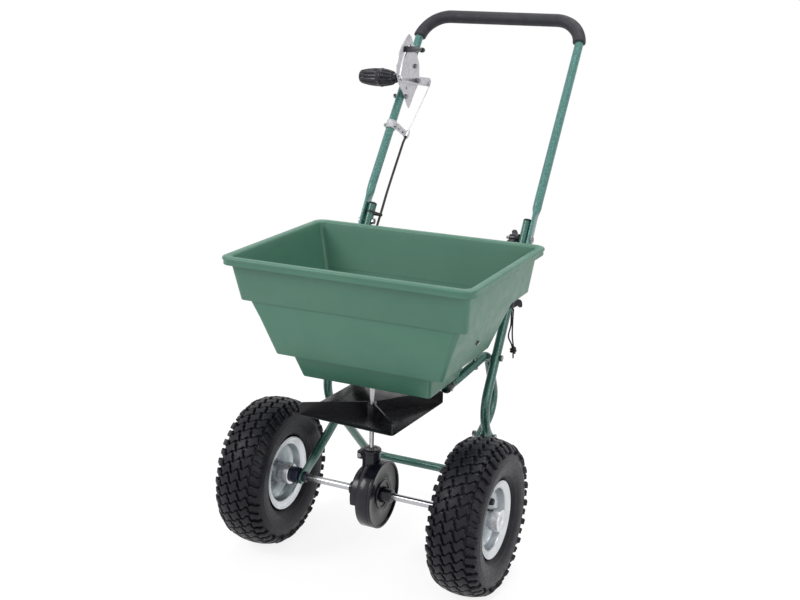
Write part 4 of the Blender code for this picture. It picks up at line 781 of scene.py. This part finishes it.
def add_block(bm, carcass, s_mid, s_half, angle, angle_half, lean, hook, height):
    """One tread block with a Z-shaped outline, drafted sides and a softened top edge."""
    rows, columns = BLOCK_GRID
    border = [(0, j) for j in range(columns)] + [(i, columns) for i in range(rows)]
    border += [(rows, j) for j in range(columns, 0, -1)] + [(i, 0) for i in range(rows, 0, -1)]
    grid = [(i, j) for i in range(rows + 1) for j in range(columns + 1)]

    def layer(places, grow, h):
        """Vertices by row and column. u runs across the tread and v round it, both from -1 to 1."""
        verts = {}
        for i, j in places:
            u, v = -1 + 2 * i / rows, -1 + 2 * j / columns
            s = s_mid + u * (s_half + grow) + hook * hooked(v)
            turn = v * (angle_half + grow / WHEEL_RADIUS) + lean * hooked(u)
            verts[i, j] = bm.verts.new(carcass.at(s, angle + turn, h))
        return verts

    bottom = layer(grid, 0.0005, -0.0012)
    waist = layer(border, 0.0002, height * 0.35)
    shoulder = layer(border, -0.0001, height - 0.0007)
    top = layer(grid, -0.0008, height)
    for verts, way in ((bottom, -1), (top, 1)):
        for i in range(rows):
            for j in range(columns):
                face = [verts[i, j], verts[i + 1, j], verts[i + 1, j + 1], verts[i, j + 1]]
                bm.faces.new(face[::way])
    rings = [[verts[at] for at in border] for verts in (bottom, waist, shoulder, top)]
    for low, high in zip(rings, rings[1:]):
        band(bm, low, high)


def tyre_mesh():
    """The tyre about the origin, its outward side towards +X."""
    bm = bmesh.new()
    points = tyre_profile()
    outer = ringed(points)
    profile = [(p.x, p.y) for p in outer] + [(-p.x, p.y) for p in reversed(outer[:-1])]
    profile += [(-x, r) for x, r in TYRE_INSIDE] + TYRE_INSIDE[-2::-1]
    turned(bm, profile, ORIGIN, ALONG_X, 144, ring=True)
    carcass = Carcass(points)
    pitch = BLOCK_PITCH
    for s_mid, offset in BLOCK_ROWS:
        for k in range(BLOCK_COUNT):
            add_block(bm, carcass, s_mid, 0.0077, (k + offset) * pitch, pitch * 0.385, pitch * 0.2, -0.002,
                      0.0046)
    for side in (1, -1):
        for k in range(BLOCK_COUNT):
            s_half, height = (0.0068, 0.0052) if k % 2 else (0.0082, 0.006)
            add_block(bm, carcass, side * (0.0279 + s_half), s_half, k * pitch, pitch * 0.28, -pitch * 0.12,
                      -0.0008, height)
    return bm


def build_wheels():
    tyre_source = tyre_mesh()
    rim = [(0, 0.0415)] + RIM_HALF + [(-x, r) for x, r in reversed(RIM_HALF)]
    valve = mm((0, 7), (1.4, 7.4), (4, 6.8), (8, 6), (14, 5.3), (14.4, 5.8), (15.2, 6), (22, 5.6), (23.4, 5),
               (24, 3.6))
    for (name, side), body in zip(SIDES, ("drive_axle", "free_wheel")):
        centre = vec(side * TRACK / 2, 0, WHEEL_RADIUS)
        tyre = tyre_source.copy()
        if side < 0:
            bmesh.ops.rotate(tyre, verts=tyre.verts, cent=ORIGIN, matrix=Matrix.Rotation(pi, 3, "Z"))
        bmesh.ops.translate(tyre, vec=centre, verts=tyre.verts)
        add_piece(f"tyre_{name}", tyre, "tyre", body, 48)
        lathe(f"rim_{name}", rim, centre, (side, 0, 0), "rim", body, 96, ring=True, sharp=50)
        foot = centre + vec(side * 0.0023, 0, 0.03)
        lathe(f"valve_stem_{name}", valve, foot, (side, 0, 0), "rubber", body, 24)
    tyre_source.free()


def build_axle():
    axle = mm((-244, 4.8), (-243.6, 5.3), (-242.9, 6), (232.9, 6), (233.6, 5.3), (234, 4.8))
    lathe("axle", axle, AXLE, ALONG_X, "steel", "drive_axle", 40)
    for name, side in SIDES:
        start = vec(side * (STRUT_END_X + 0.0051), 0, WHEEL_RADIUS)
        length = TRACK / 2 - HUB_HALF_LENGTH - abs(start.x) - GAP
        collar = ((0, 0.013), (0.0004, 0.0137), (0.0011, 0.014), (length - 0.0011, 0.014),
                  (length - 0.0004, 0.0137), (length, 0.013))
        lathe(f"spacer_collar_{name}", collar, start, (side, 0, 0), "collar", count=40, bore=AXLE_BORE)
        bush = mm((-8.5, 8.6), (-8.1, 9.1), (-7.4, 9.4), (-2.8, 9.4), (-2.8, 8.5), (4.5, 8.5))
        end = (side * STRUT_END_X, 0, WHEEL_RADIUS)
        lathe(f"axle_bush_{name}", bush, end, (side, 0, 0), "collar", count=40, bore=AXLE_BORE)


# ---- gearbox and impeller
def build_gearbox():
    case = mm((-38, 10.5), (-37.6, 11), (-22.5, 12.2), (-20.6, 13.5), (-20, 16), (-4, 16.5), (-2.4, 17.2),
              (-2, 19), (-2, 56.2), (-1.6, 57.3), (-0.6, 58), (18.4, 58), (19, 57.7), (19, 55.5), (0.5, 55.5))
    lathe("gearbox_case", case, AXLE, ALONG_X, "plastic", count=96, bore=AXLE_BORE)

    arcs = ((0.0435, range(-14, 195, 8)), (0.0158, range(212, 333, 12)))
    outline = [(radius * cos(radians(turn)), radius * sin(radians(turn)))
               for radius, arc in arcs for turn in arc]

    def lobe_ring(x, inset):
        shares = [(hypot(*place) - inset) / hypot(*place) for place in outline]
        return [AXLE + vec(x, y * share, z * share) for (y, z), share in zip(outline, shares)]

    lobe = mm((-2.1, 0), (-17, 0), (-18.4, 0.4), (-19.4, 1.4), (-19.8, 2.8))
    skinned("gearbox_lobe_detail", [lobe_ring(*row) for row in lobe], "plastic")

    neck = mm((170, 17.8), (174, 16.4), (180, 15.8), (186, 15.6), (203.4, 15.6), (204, 15.1), (204, 10.5),
              (169, 10.5))
    lathe("gearbox_neck_detail", neck, ORIGIN, UP, "plastic", ring=True)
    outline = mm((-12.5, 0, 189), (-22.5, 0, 189), (-24, 0, 190.5), (-24, 0, 202.5), (-22.5, 0, 204),
                 (-12.5, 0, 204))
    ear = slab([Vector(p) for p in outline], vec(0, 0.006, 0), 0.0006)
    add_piece("gearbox_ear_detail", ear, "plastic")

    cover = mm((19.3, 57.6), (19.7, 58), (23.8, 58), (24.6, 57.7), (25, 57), (25, 54.8), (24.7, 54.3),
               (21.4, 53.8), (21, 53.2), (21, 26.2), (21.4, 25.6), (22.8, 25.4), (23.2, 25), (23.2, 22.2),
               (22.8, 21.8), (21.2, 21.6), (20.8, 21), (20.8, 14.6), (21.2, 13.8), (39.5, 11.2), (40, 10.7))
    lathe("gearbox_cover", cover, AXLE, ALONG_X, "plastic", count=96, bore=AXLE_BORE)
    cap = mm((208.5, 9.2), (209.5, 9.8), (209.5, 15.2), (209.1, 16), (208.4, 16.6), (207.4, 16.8),
             (204.7, 16.8), (204.3, 16.6), (204.3, 10.2), (196, 10.2))
    lathe("neck_cap", cap, ORIGIN, UP, "plastic", bore=0.0043)

    shaft = mm((152, 3.4), (152.6, 4), (370.8, 4), (371.7, 3.6), (372, 2.8))
    lathe("impeller_shaft", shaft, ORIGIN, UP, "steel", "spinner", 32)
    wire = mm((0, -30, 378), (0, -24, 360), (0, 24, 360), (0, 30, 378))
    pipe("agitator", rounded_path(wire, (0.005, 0.005), 10), 0.002, "zinc", "spinner", 16)


def build_impeller():
    """A dished square plate on its corner, with four upright vanes that rise to rounded tips."""
    turns = [IMPELLER_TURN + radians(45 + 90 * k) for k in range(4)]
    diagonals = [vec(cos(turn), sin(turn), 0) for turn in turns]
    outline = []
    for k in range(4):
        corner = diagonals[k] * IMPELLER_CORNER
        first, last = (corner + (diagonals[n % 4] * IMPELLER_CORNER - corner).normalized() * 0.007
                       for n in (k - 1, k + 1))
        for step in range(7):
            t = step / 6
            outline.append(first * (1 - t) ** 2 + corner * 2 * t * (1 - t) + last * t ** 2)

    def dished(share, drop):
        ring = []
        for p in outline:
            p = p * share
            spread = abs(p.dot(diagonals[0])) + abs(p.dot(diagonals[1]))
            ring.append(vec(p.x, p.y, IMPELLER_LOW + IMPELLER_RISE * spread / IMPELLER_CORNER - drop))
        return ring

    shares = (0.1, 0.4, 0.7, 0.992)
    rings = [dished(share, 0) for share in shares]
    rings += [dished(1, 0.0004), dished(1, IMPELLER_THICKNESS - 0.0004)]
    rings += [dished(share, IMPELLER_THICKNESS) for share in reversed(shares)]
    bm = bmesh.new()
    skin(bm, rings, closed=True)
    reach = IMPELLER_CORNER - 0.002
    tip = 0.2975
    for out in diagonals:
        edge = [(0.008, IMPELLER_LOW - 0.0005), (reach, IMPELLER_LOW + IMPELLER_RISE - 0.0016), (reach, tip)]
        for step in range(1, 7):
            angle = radians(15 * step)
            edge.append((reach - 0.006 + 0.006 * cos(angle), tip + 0.005 * sin(angle)))
        edge += [(0.06, 0.2985), (0.008, 0.2945)]
        half = vec(-out.y, out.x, 0) * 0.0013
        merge(bm, slab([out * along + vec(0, 0, z) for along, z in edge], half, 0.0005))
    hub = mm((262, 10), (263, 11), (289, 11), (289.7, 10.6), (290, 9.8))
    turned(bm, hub, ORIGIN, UP, 40, bore=0.0042)
    add_piece("impeller", bm, "dull_plastic", "spinner", 30)


# ---- flow control
def polar(angle, radius, x):
    return vec(x, LEVER_PIVOT[0] + radius * cos(angle), LEVER_PIVOT[1] + radius * sin(angle))


def build_knob():
    """The ribbed black knob, with a plain band round it and a ferrule at its inner end."""
    at = polar(LEVER_REST, LEVER_REACH, 0)
    start = PLATE_X + GAP - 0.003
    stations = mm((0, 7), (0.4, 8.2), (2.2, 9), (6, 9.4), (6.8, 10), (7.4, 11.8), (9, 13), (15, 14.7),
                  (22, 16.1), (28.6, 17), (29.6, 17.1), (30.4, 17.8), (33.6, 17.8), (34.4, 17.2), (40, 17.2),
                  (48, 16.9), (56, 16.2), (64, 15), (70, 13.8), (74, 12.6), (76.4, 11.2), (77.7, 9), (78, 6))
    count = KNOB_RIBS * 8
    rings = []
    for along, radius in stations:
        ribbed = 0.0085 < along < 0.029 or 0.035 < along < 0.0735
        ring = []
        for k in range(count):
            angle = 2 * pi * k / count
            wave = 0.5 - 0.5 * cos(KNOB_RIBS * angle)
            r = radius - (KNOB_RIB_DEPTH * (1 - wave) ** 2 if ribbed else 0)
            ring.append(vec(start - along, at.y + r * cos(angle), at.z + r * sin(angle)))
        rings.append(ring)
    skinned("lever_knob", rings, "plastic", "flow_arm", sharp=50)


def wire_top():
    return polar(LEVER_REST + pi, LEVER_TAIL, PLATE_X + 0.0065) + vec(0, -0.003, -0.008)


def build_cable():
    toward = (wire_top() - SHEATH_TOP).normalized()
    ahead = SHEATH_TOP + toward * 0.007
    route = mm((-138.5, 342, 592), (-135, 306, 554), (-134.5, 256, 478), (-120, 224, 415), (-60, 208, 360),
               (-8, 214, 319))
    route = [SHEATH_TOP - toward * 0.014] + route + [(0, 0.196, WIRE_END_Z)]
    points = [ahead] + smooth_route(route, 10) + [vec(0, 0.143, WIRE_END_Z)]
    pipe("cable_sheath", points, 0.0023, "rubber", count=16)
    build_cable_tie(densified(points, 0.002))
    ferrule = mm((0, 3), (0.5, 3.4), (9, 3.4), (9.6, 3))
    lathe("cable_ferrule_detail", ferrule, ahead + toward * 0.0004, toward, "zinc", count=20, bore=0.0011)

    start, end = ahead + toward * 0.0006, wire_top()
    hole = polar(LEVER_REST + pi, LEVER_TAIL, 0)
    hook = [start.lerp(end, 0.97), end, vec(PLATE_X + 0.0058, hole.y, hole.z - 0.0012),
            vec(PLATE_X + 0.0044, hole.y, hole.z), vec(PLATE_X + 0.0024, hole.y, hole.z + 0.0003)]
    path = densified([start, hook[0]], 0.006)[:-1] + smooth_route(hook, 4)
    piece = pipe("control_wire", path, 0.0009, "steel", None, 10)
    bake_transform(piece)


def handle_at(z):
    """The centre of the right side of the handle at a height above its knee."""
    share = (z - KNEE[1]) / (HANDLE_TOP[1] - KNEE[1])
    return vec(-(HANDLE_FLAT_X + (HANDLE_X - HANDLE_FLAT_X) * share),
               KNEE[0] + (HANDLE_TOP[0] - KNEE[0]) * share, z)


def domed_head(bm, place, direction, radius, height):
    profile = [(height * up, radius * out) for up, out in ((0, 0.96), (0.35, 1), (0.75, 0.8), (1, 0.36))]
    turned(bm, profile, place, direction, 20)


def build_cable_clamp():
    """The split band on the handle with its crossing bolt, and the plate that holds the sheath's end."""
    low, high = handle_at(0.687), handle_at(0.699)
    middle, along = (low + high) / 2, (high - low).normalized()
    bm = bmesh.new()
    strap = mm((-8.4, 9.5), (-8, 10), (8, 10), (8.4, 9.5))
    turned(bm, strap, middle, along, 40, bore=TUBE_RADIUS + 0.0005)
    toward = (wire_top() - SHEATH_TOP).normalized()
    turned(bm, mm((0, 4.6), (0.5, 5), (10.5, 5), (11, 4.6)), SHEATH_TOP, toward, 28, bore=0.0029)
    seat = SHEATH_TOP + toward * 0.0055
    start = middle + vec(0.0096, 0.003, -0.001)
    tip = seat - (seat - start).normalized() * 0.003
    wide = (seat - start).cross(PLATE_FACING).normalized() * 0.006
    thick = wide.cross(seat - start).normalized() * 0.0011
    merge(bm, slab([start - wide, start + wide, tip + wide * 0.9, tip - wide * 0.9], thick, 0.0004))
    add_piece("cable_clamp", bm, "zinc")
    heads = bmesh.new()
    facing = PLATE_FACING.normalized()
    for share in (0.3, 0.72):
        domed_head(heads, start.lerp(tip, share) + facing * 0.001, facing, 0.003, 0.0022)
    for way in (1, -1):
        domed_head(heads, middle + vec(way * 0.0092, -0.003, 0), (way, -0.3, 0), 0.0036, 0.0046)
    add_piece("cable_clamp_screws", heads, "bolt")


def frame_at(side, z):
    """The centre of the frame tube at a height above its bow."""
    return vec(side * FRAME_X, FRAME_TOP[0] - (FRAME_TOP[1] - z) * FRAME_SLOPE, z)


def build_cable_tie(sheath_points):
    """A narrow strap that holds the sheath to the right side of the frame, just under its plug."""
    tube_at = frame_at(-1, 0.544)
    sheath_at = min(sheath_points, key=lambda p: abs((p - tube_at).dot(FRAME_ALONG)))
    sheath_at = sheath_at - FRAME_ALONG * (sheath_at - tube_at).dot(FRAME_ALONG)
    out = (sheath_at - tube_at).normalized()
    other = FRAME_ALONG.cross(out)
    big, small = TUBE_RADIUS + 0.0003, 0.0029
    lean = acos((big - small) / (sheath_at - tube_at).length)

    def loop(extra):
        """Round the tube on its far side and round the sheath on the other."""
        points = []
        for centre, radius, first, turn, steps in ((tube_at, big, lean, 2 * pi - 2 * lean, 24),
                                                   (sheath_at, small, -lean, 2 * lean, 12)):
            for k in range(steps + 1):
                angle = first + turn * k / steps
                points.append(centre + (radius + extra) * (cos(angle) * out + sin(angle) * other))
        return points

    inner, outer = loop(0), loop(0.0011)
    half = FRAME_ALONG * 0.0018
    rings = [[p - half for p in inner], [p - half for p in outer], [p + half for p in outer],
             [p + half for p in inner]]
    skinned("cable_tie", rings, "rubber", closed=True)


# ---- small fittings
def build_wing_bolt():
    bolt = mm((-46, 2.2), (-45.4, 2.9), (-0.5, 3), (0, 3.4), (0, 7.6), (0.7, 7.6), (1.6, 7), (2.5, 5.8),
              (3.3, 4), (3.8, 1.8))
    head = on_side(1, HANDLE_BOLTS[0], HANDLE_FLAT_X + 0.0033)
    lathe("handle_carriage_bolt", bolt, head, ALONG_X, "bolt", count=32)


def build_cord_hook(tube_at):
    """The moulded clip on the left side of the frame, with a thick arm that ends in a hooked lip."""
    bm = bmesh.new()
    strap = mm((-6, 10.2), (-5.4, 10.8), (7.4, 10.8), (8, 10.2))
    turned(bm, strap, tube_at, FRAME_ALONG, 36, bore=TUBE_RADIUS + 0.0006)
    out = vec(0.62, 0.78, 0).normalized()
    side = vec(0.78, -0.62, 0).normalized() * 0.0034
    outline = mm((8.5, -7.5), (13, -5.2), (18, -3.4), (20.5, -4.5), (21.5, -7.5), (26.2, -7), (26.6, -3),
                 (25.6, 3), (22.5, 6.6), (17, 8), (12, 8.2), (8.5, 7.2))
    merge(bm, slab([tube_at + out * u + vec(0, 0, v) for u, v in outline], side, 0.0009))
    add_piece("cord_hook", bm, "plastic")


def build_tie_cord():
    """The doubled cord that hangs from its hook, with its knot and tail."""
    tube_at = frame_at(1, 0.423)
    away = vec(0, 1, -FRAME_SLOPE).normalized()
    build_cord_hook(tube_at + FRAME_ALONG * 0.005)
    start = tube_at + away * 0.016 - FRAME_ALONG * 0.005 + vec(0.0055, 0, 0.007)
    knot_at = start + vec(0.0005, 0.01, -0.078)
    for name, side in (("a", 1), ("b", -1)):
        spread = vec(0.0013 * side, 0.0006 * side, 0)
        drops = mm((0, 0, 0), (-0.4, 0, -12), (-0.6, 0, -30), (-0.4, 1, -50), (0.2, 5.5, -66))
        route = [start + Vector(drop) + spread for drop in drops] + [knot_at + spread * 0.7]
        if side > 0:
            route += [knot_at + vec(0.0002, 0.0004, -0.008), knot_at + vec(0.0004, 0.001, -0.015)]
        else:
            route[3] += vec(-0.0036, -0.0016, 0)
        path = smooth_route(route, 5)
        node = "tie_cord" if side > 0 else None
        piece = pipe(f"tie_cord_strand_{name}", path, 0.0014, "cord", count=10, node=node)
    coil = []
    for k in range(45):
        t = k / 44
        angle = 2 * pi * 2.4 * t
        reach = 0.0027 + 0.0018 * sin(pi * t)
        coil.append(knot_at + vec(reach * cos(angle), reach * sin(angle), -0.005 + 0.01 * t))
    knot_piece = pipe("tie_cord_knot", coil, 0.002, "cord", count=10)


def sided(*stems):
    return [f"{stem}_{name}" for stem in stems for name, side in SIDES]


# Nodes drawn from their own solids: finish, body, edge softening, growth and names
DRESSED = (
    ("zinc", "frame", 0.0003, 0, ("lever_plate", "gate_guide")),
    ("zinc", "flow_arm", 0.0003, 0, ("flow_lever",)),
    ("zinc", "gate", 0.0002, 0, ("gate_plate",)),
    ("plastic", "hand_knob", 0.0006, 0, ("wing_knob",)),
    ("nylon", "drive_axle", 0.0001, 0, ("crown_gear",)),
    ("nylon", "spinner", 0.0001, 0, ("pinion",)),
    ("bolt", "drive_axle", 0.0003, 0, ("drive_pin", "retaining_pin")),
    ("bolt", "frame", 0.0003, 0, (
        *sided("crossing_bolt_upper", "crossing_bolt_lower"), "handle_bolt_upper_right",
        *sided("handle_bolt_lower", "hopper_bolt_front", "hopper_bolt_rear"), "hopper_bolt_side",
        "plate_bolt_upper", "plate_bolt_lower", "lever_pivot_bolt", "neck_bolt")),
    ("plastic", "stop", 0.0005, 0.0002, ("lever_stop",)),
)


# ---- stage
def seen_directly(tree):
    """1 for rays from the camera, off a shiny face or through glass, and 0 for the light on things."""
    rays = tree.nodes.new("ShaderNodeLightPath").outputs
    seen = rays["Is Camera Ray"]
    for kind in ("Is Glossy Ray", "Is Transmission Ray"):
        seen = add_node(tree, "Math", "Value", seen, rays[kind], setting=("operation", "MAXIMUM"))
    return seen


def build_stage():
    bm = bmesh.new()
    bmesh.ops.create_circle(bm, cap_ends=True, segments=96, radius=9)
    floor = in_scene("studio_floor", mesh_from("studio_floor", bm))

    paper = bpy.data.materials.new("pale_floor")
    paper.use_nodes = True
    tree = paper.node_tree
    tree.nodes.remove(tree.nodes["Principled BSDF"])
    add = partial(add_node, tree)
    reach = add("VectorMath", "Value", add("TexCoord", "Object"), setting=("operation", "LENGTH"))
    fade = add("MapRange", "Result", reach, *FLOOR_FADE, 0, 1)
    glow = add("Emission", "Emission", Strength=add("MapRange", "Result", fade, 0, 1, FLOOR_GLOW, 1))
    shaded = add("BsdfDiffuse", "BSDF", Color=add("MapRange", "Result", fade, 0, 1, FLOOR_SHADE, 0))
    plain = add("BsdfDiffuse", "BSDF", Color=(0.8, 0.8, 0.8, 1))
    both = add("AddShader", "Shader", glow, shaded)
    choice = add("MixShader", "Shader", seen_directly(tree), plain, both)
    tree.links.new(choice, tree.nodes["Material Output"].inputs["Surface"])
    floor.data.materials.append(paper)


def build_world():
    world = bpy.data.worlds.new("studio")
    bpy.context.scene.world = world
    world.use_nodes = True
    tree = world.node_tree
    background = tree.nodes["Background"]
    background.inputs["Color"].default_value = (1, 1, 1, 1)
    level = add_node(tree, "MapRange", "Result", seen_directly(tree), 0, 1, WORLD_LEVEL, 1)
    tree.links.new(level, background.inputs["Strength"])


def build_lamps():
    for name, place, aim, size, power in LAMPS:
        data = bpy.data.lights.new(name, "AREA")
        data.size = size
        data.energy = power
        lamp = in_scene(name, data)
        lamp.location = place
        lamp.rotation_mode = "QUATERNION"
        lamp.rotation_quaternion = (Vector(aim) - Vector(place)).to_track_quat("-Z", "Y")


def build_camera():
    azimuth, elevation, roll = (radians(angle) for angle in CAMERA_ANGLES)
    back = vec(sin(azimuth) * cos(elevation), -cos(azimuth) * cos(elevation), sin(elevation))
    level = (-back).cross(Vector(UP)).normalized()
    upward = level.cross(-back)
    right = cos(roll) * level + sin(roll) * upward
    up = -sin(roll) * level + cos(roll) * upward
    data = bpy.data.cameras.new("photo_camera")
    data.sensor_width = 36
    data.lens = FOCAL_PIXELS * data.sensor_width / IMAGE_WIDTH
    data.shift_x = (IMAGE_WIDTH / 2 - PRINCIPAL_POINT[0]) / IMAGE_WIDTH
    data.shift_y = (PRINCIPAL_POINT[1] - IMAGE_HEIGHT / 2) / IMAGE_WIDTH
    data.clip_start = 0.05
    data.clip_end = 50
    camera = in_scene("photo_camera", data)
    matrix = Matrix((right, up, back)).transposed().to_4x4()
    matrix.translation = CAMERA_AIM + back * CAMERA_DISTANCE + SHIFT
    camera.matrix_world = matrix
    bpy.context.scene.camera = camera


def build():
    for step in (build_camera, build_tie_cord, build_frame_tube, build_struts, build_handle, build_hopper,
                 build_wheels, build_axle, build_gearbox, build_impeller, build_knob, build_cable,
                 build_cable_clamp, build_wing_bolt):
        step()
    for finish, body, width, grow, names in DRESSED:
        for name in names:
            dressed(name, finish, body, width, grow)
    build_stage()
    build_world()
    build_lamps()
    bpy.context.scene.view_settings.view_transform = "Standard"


build()
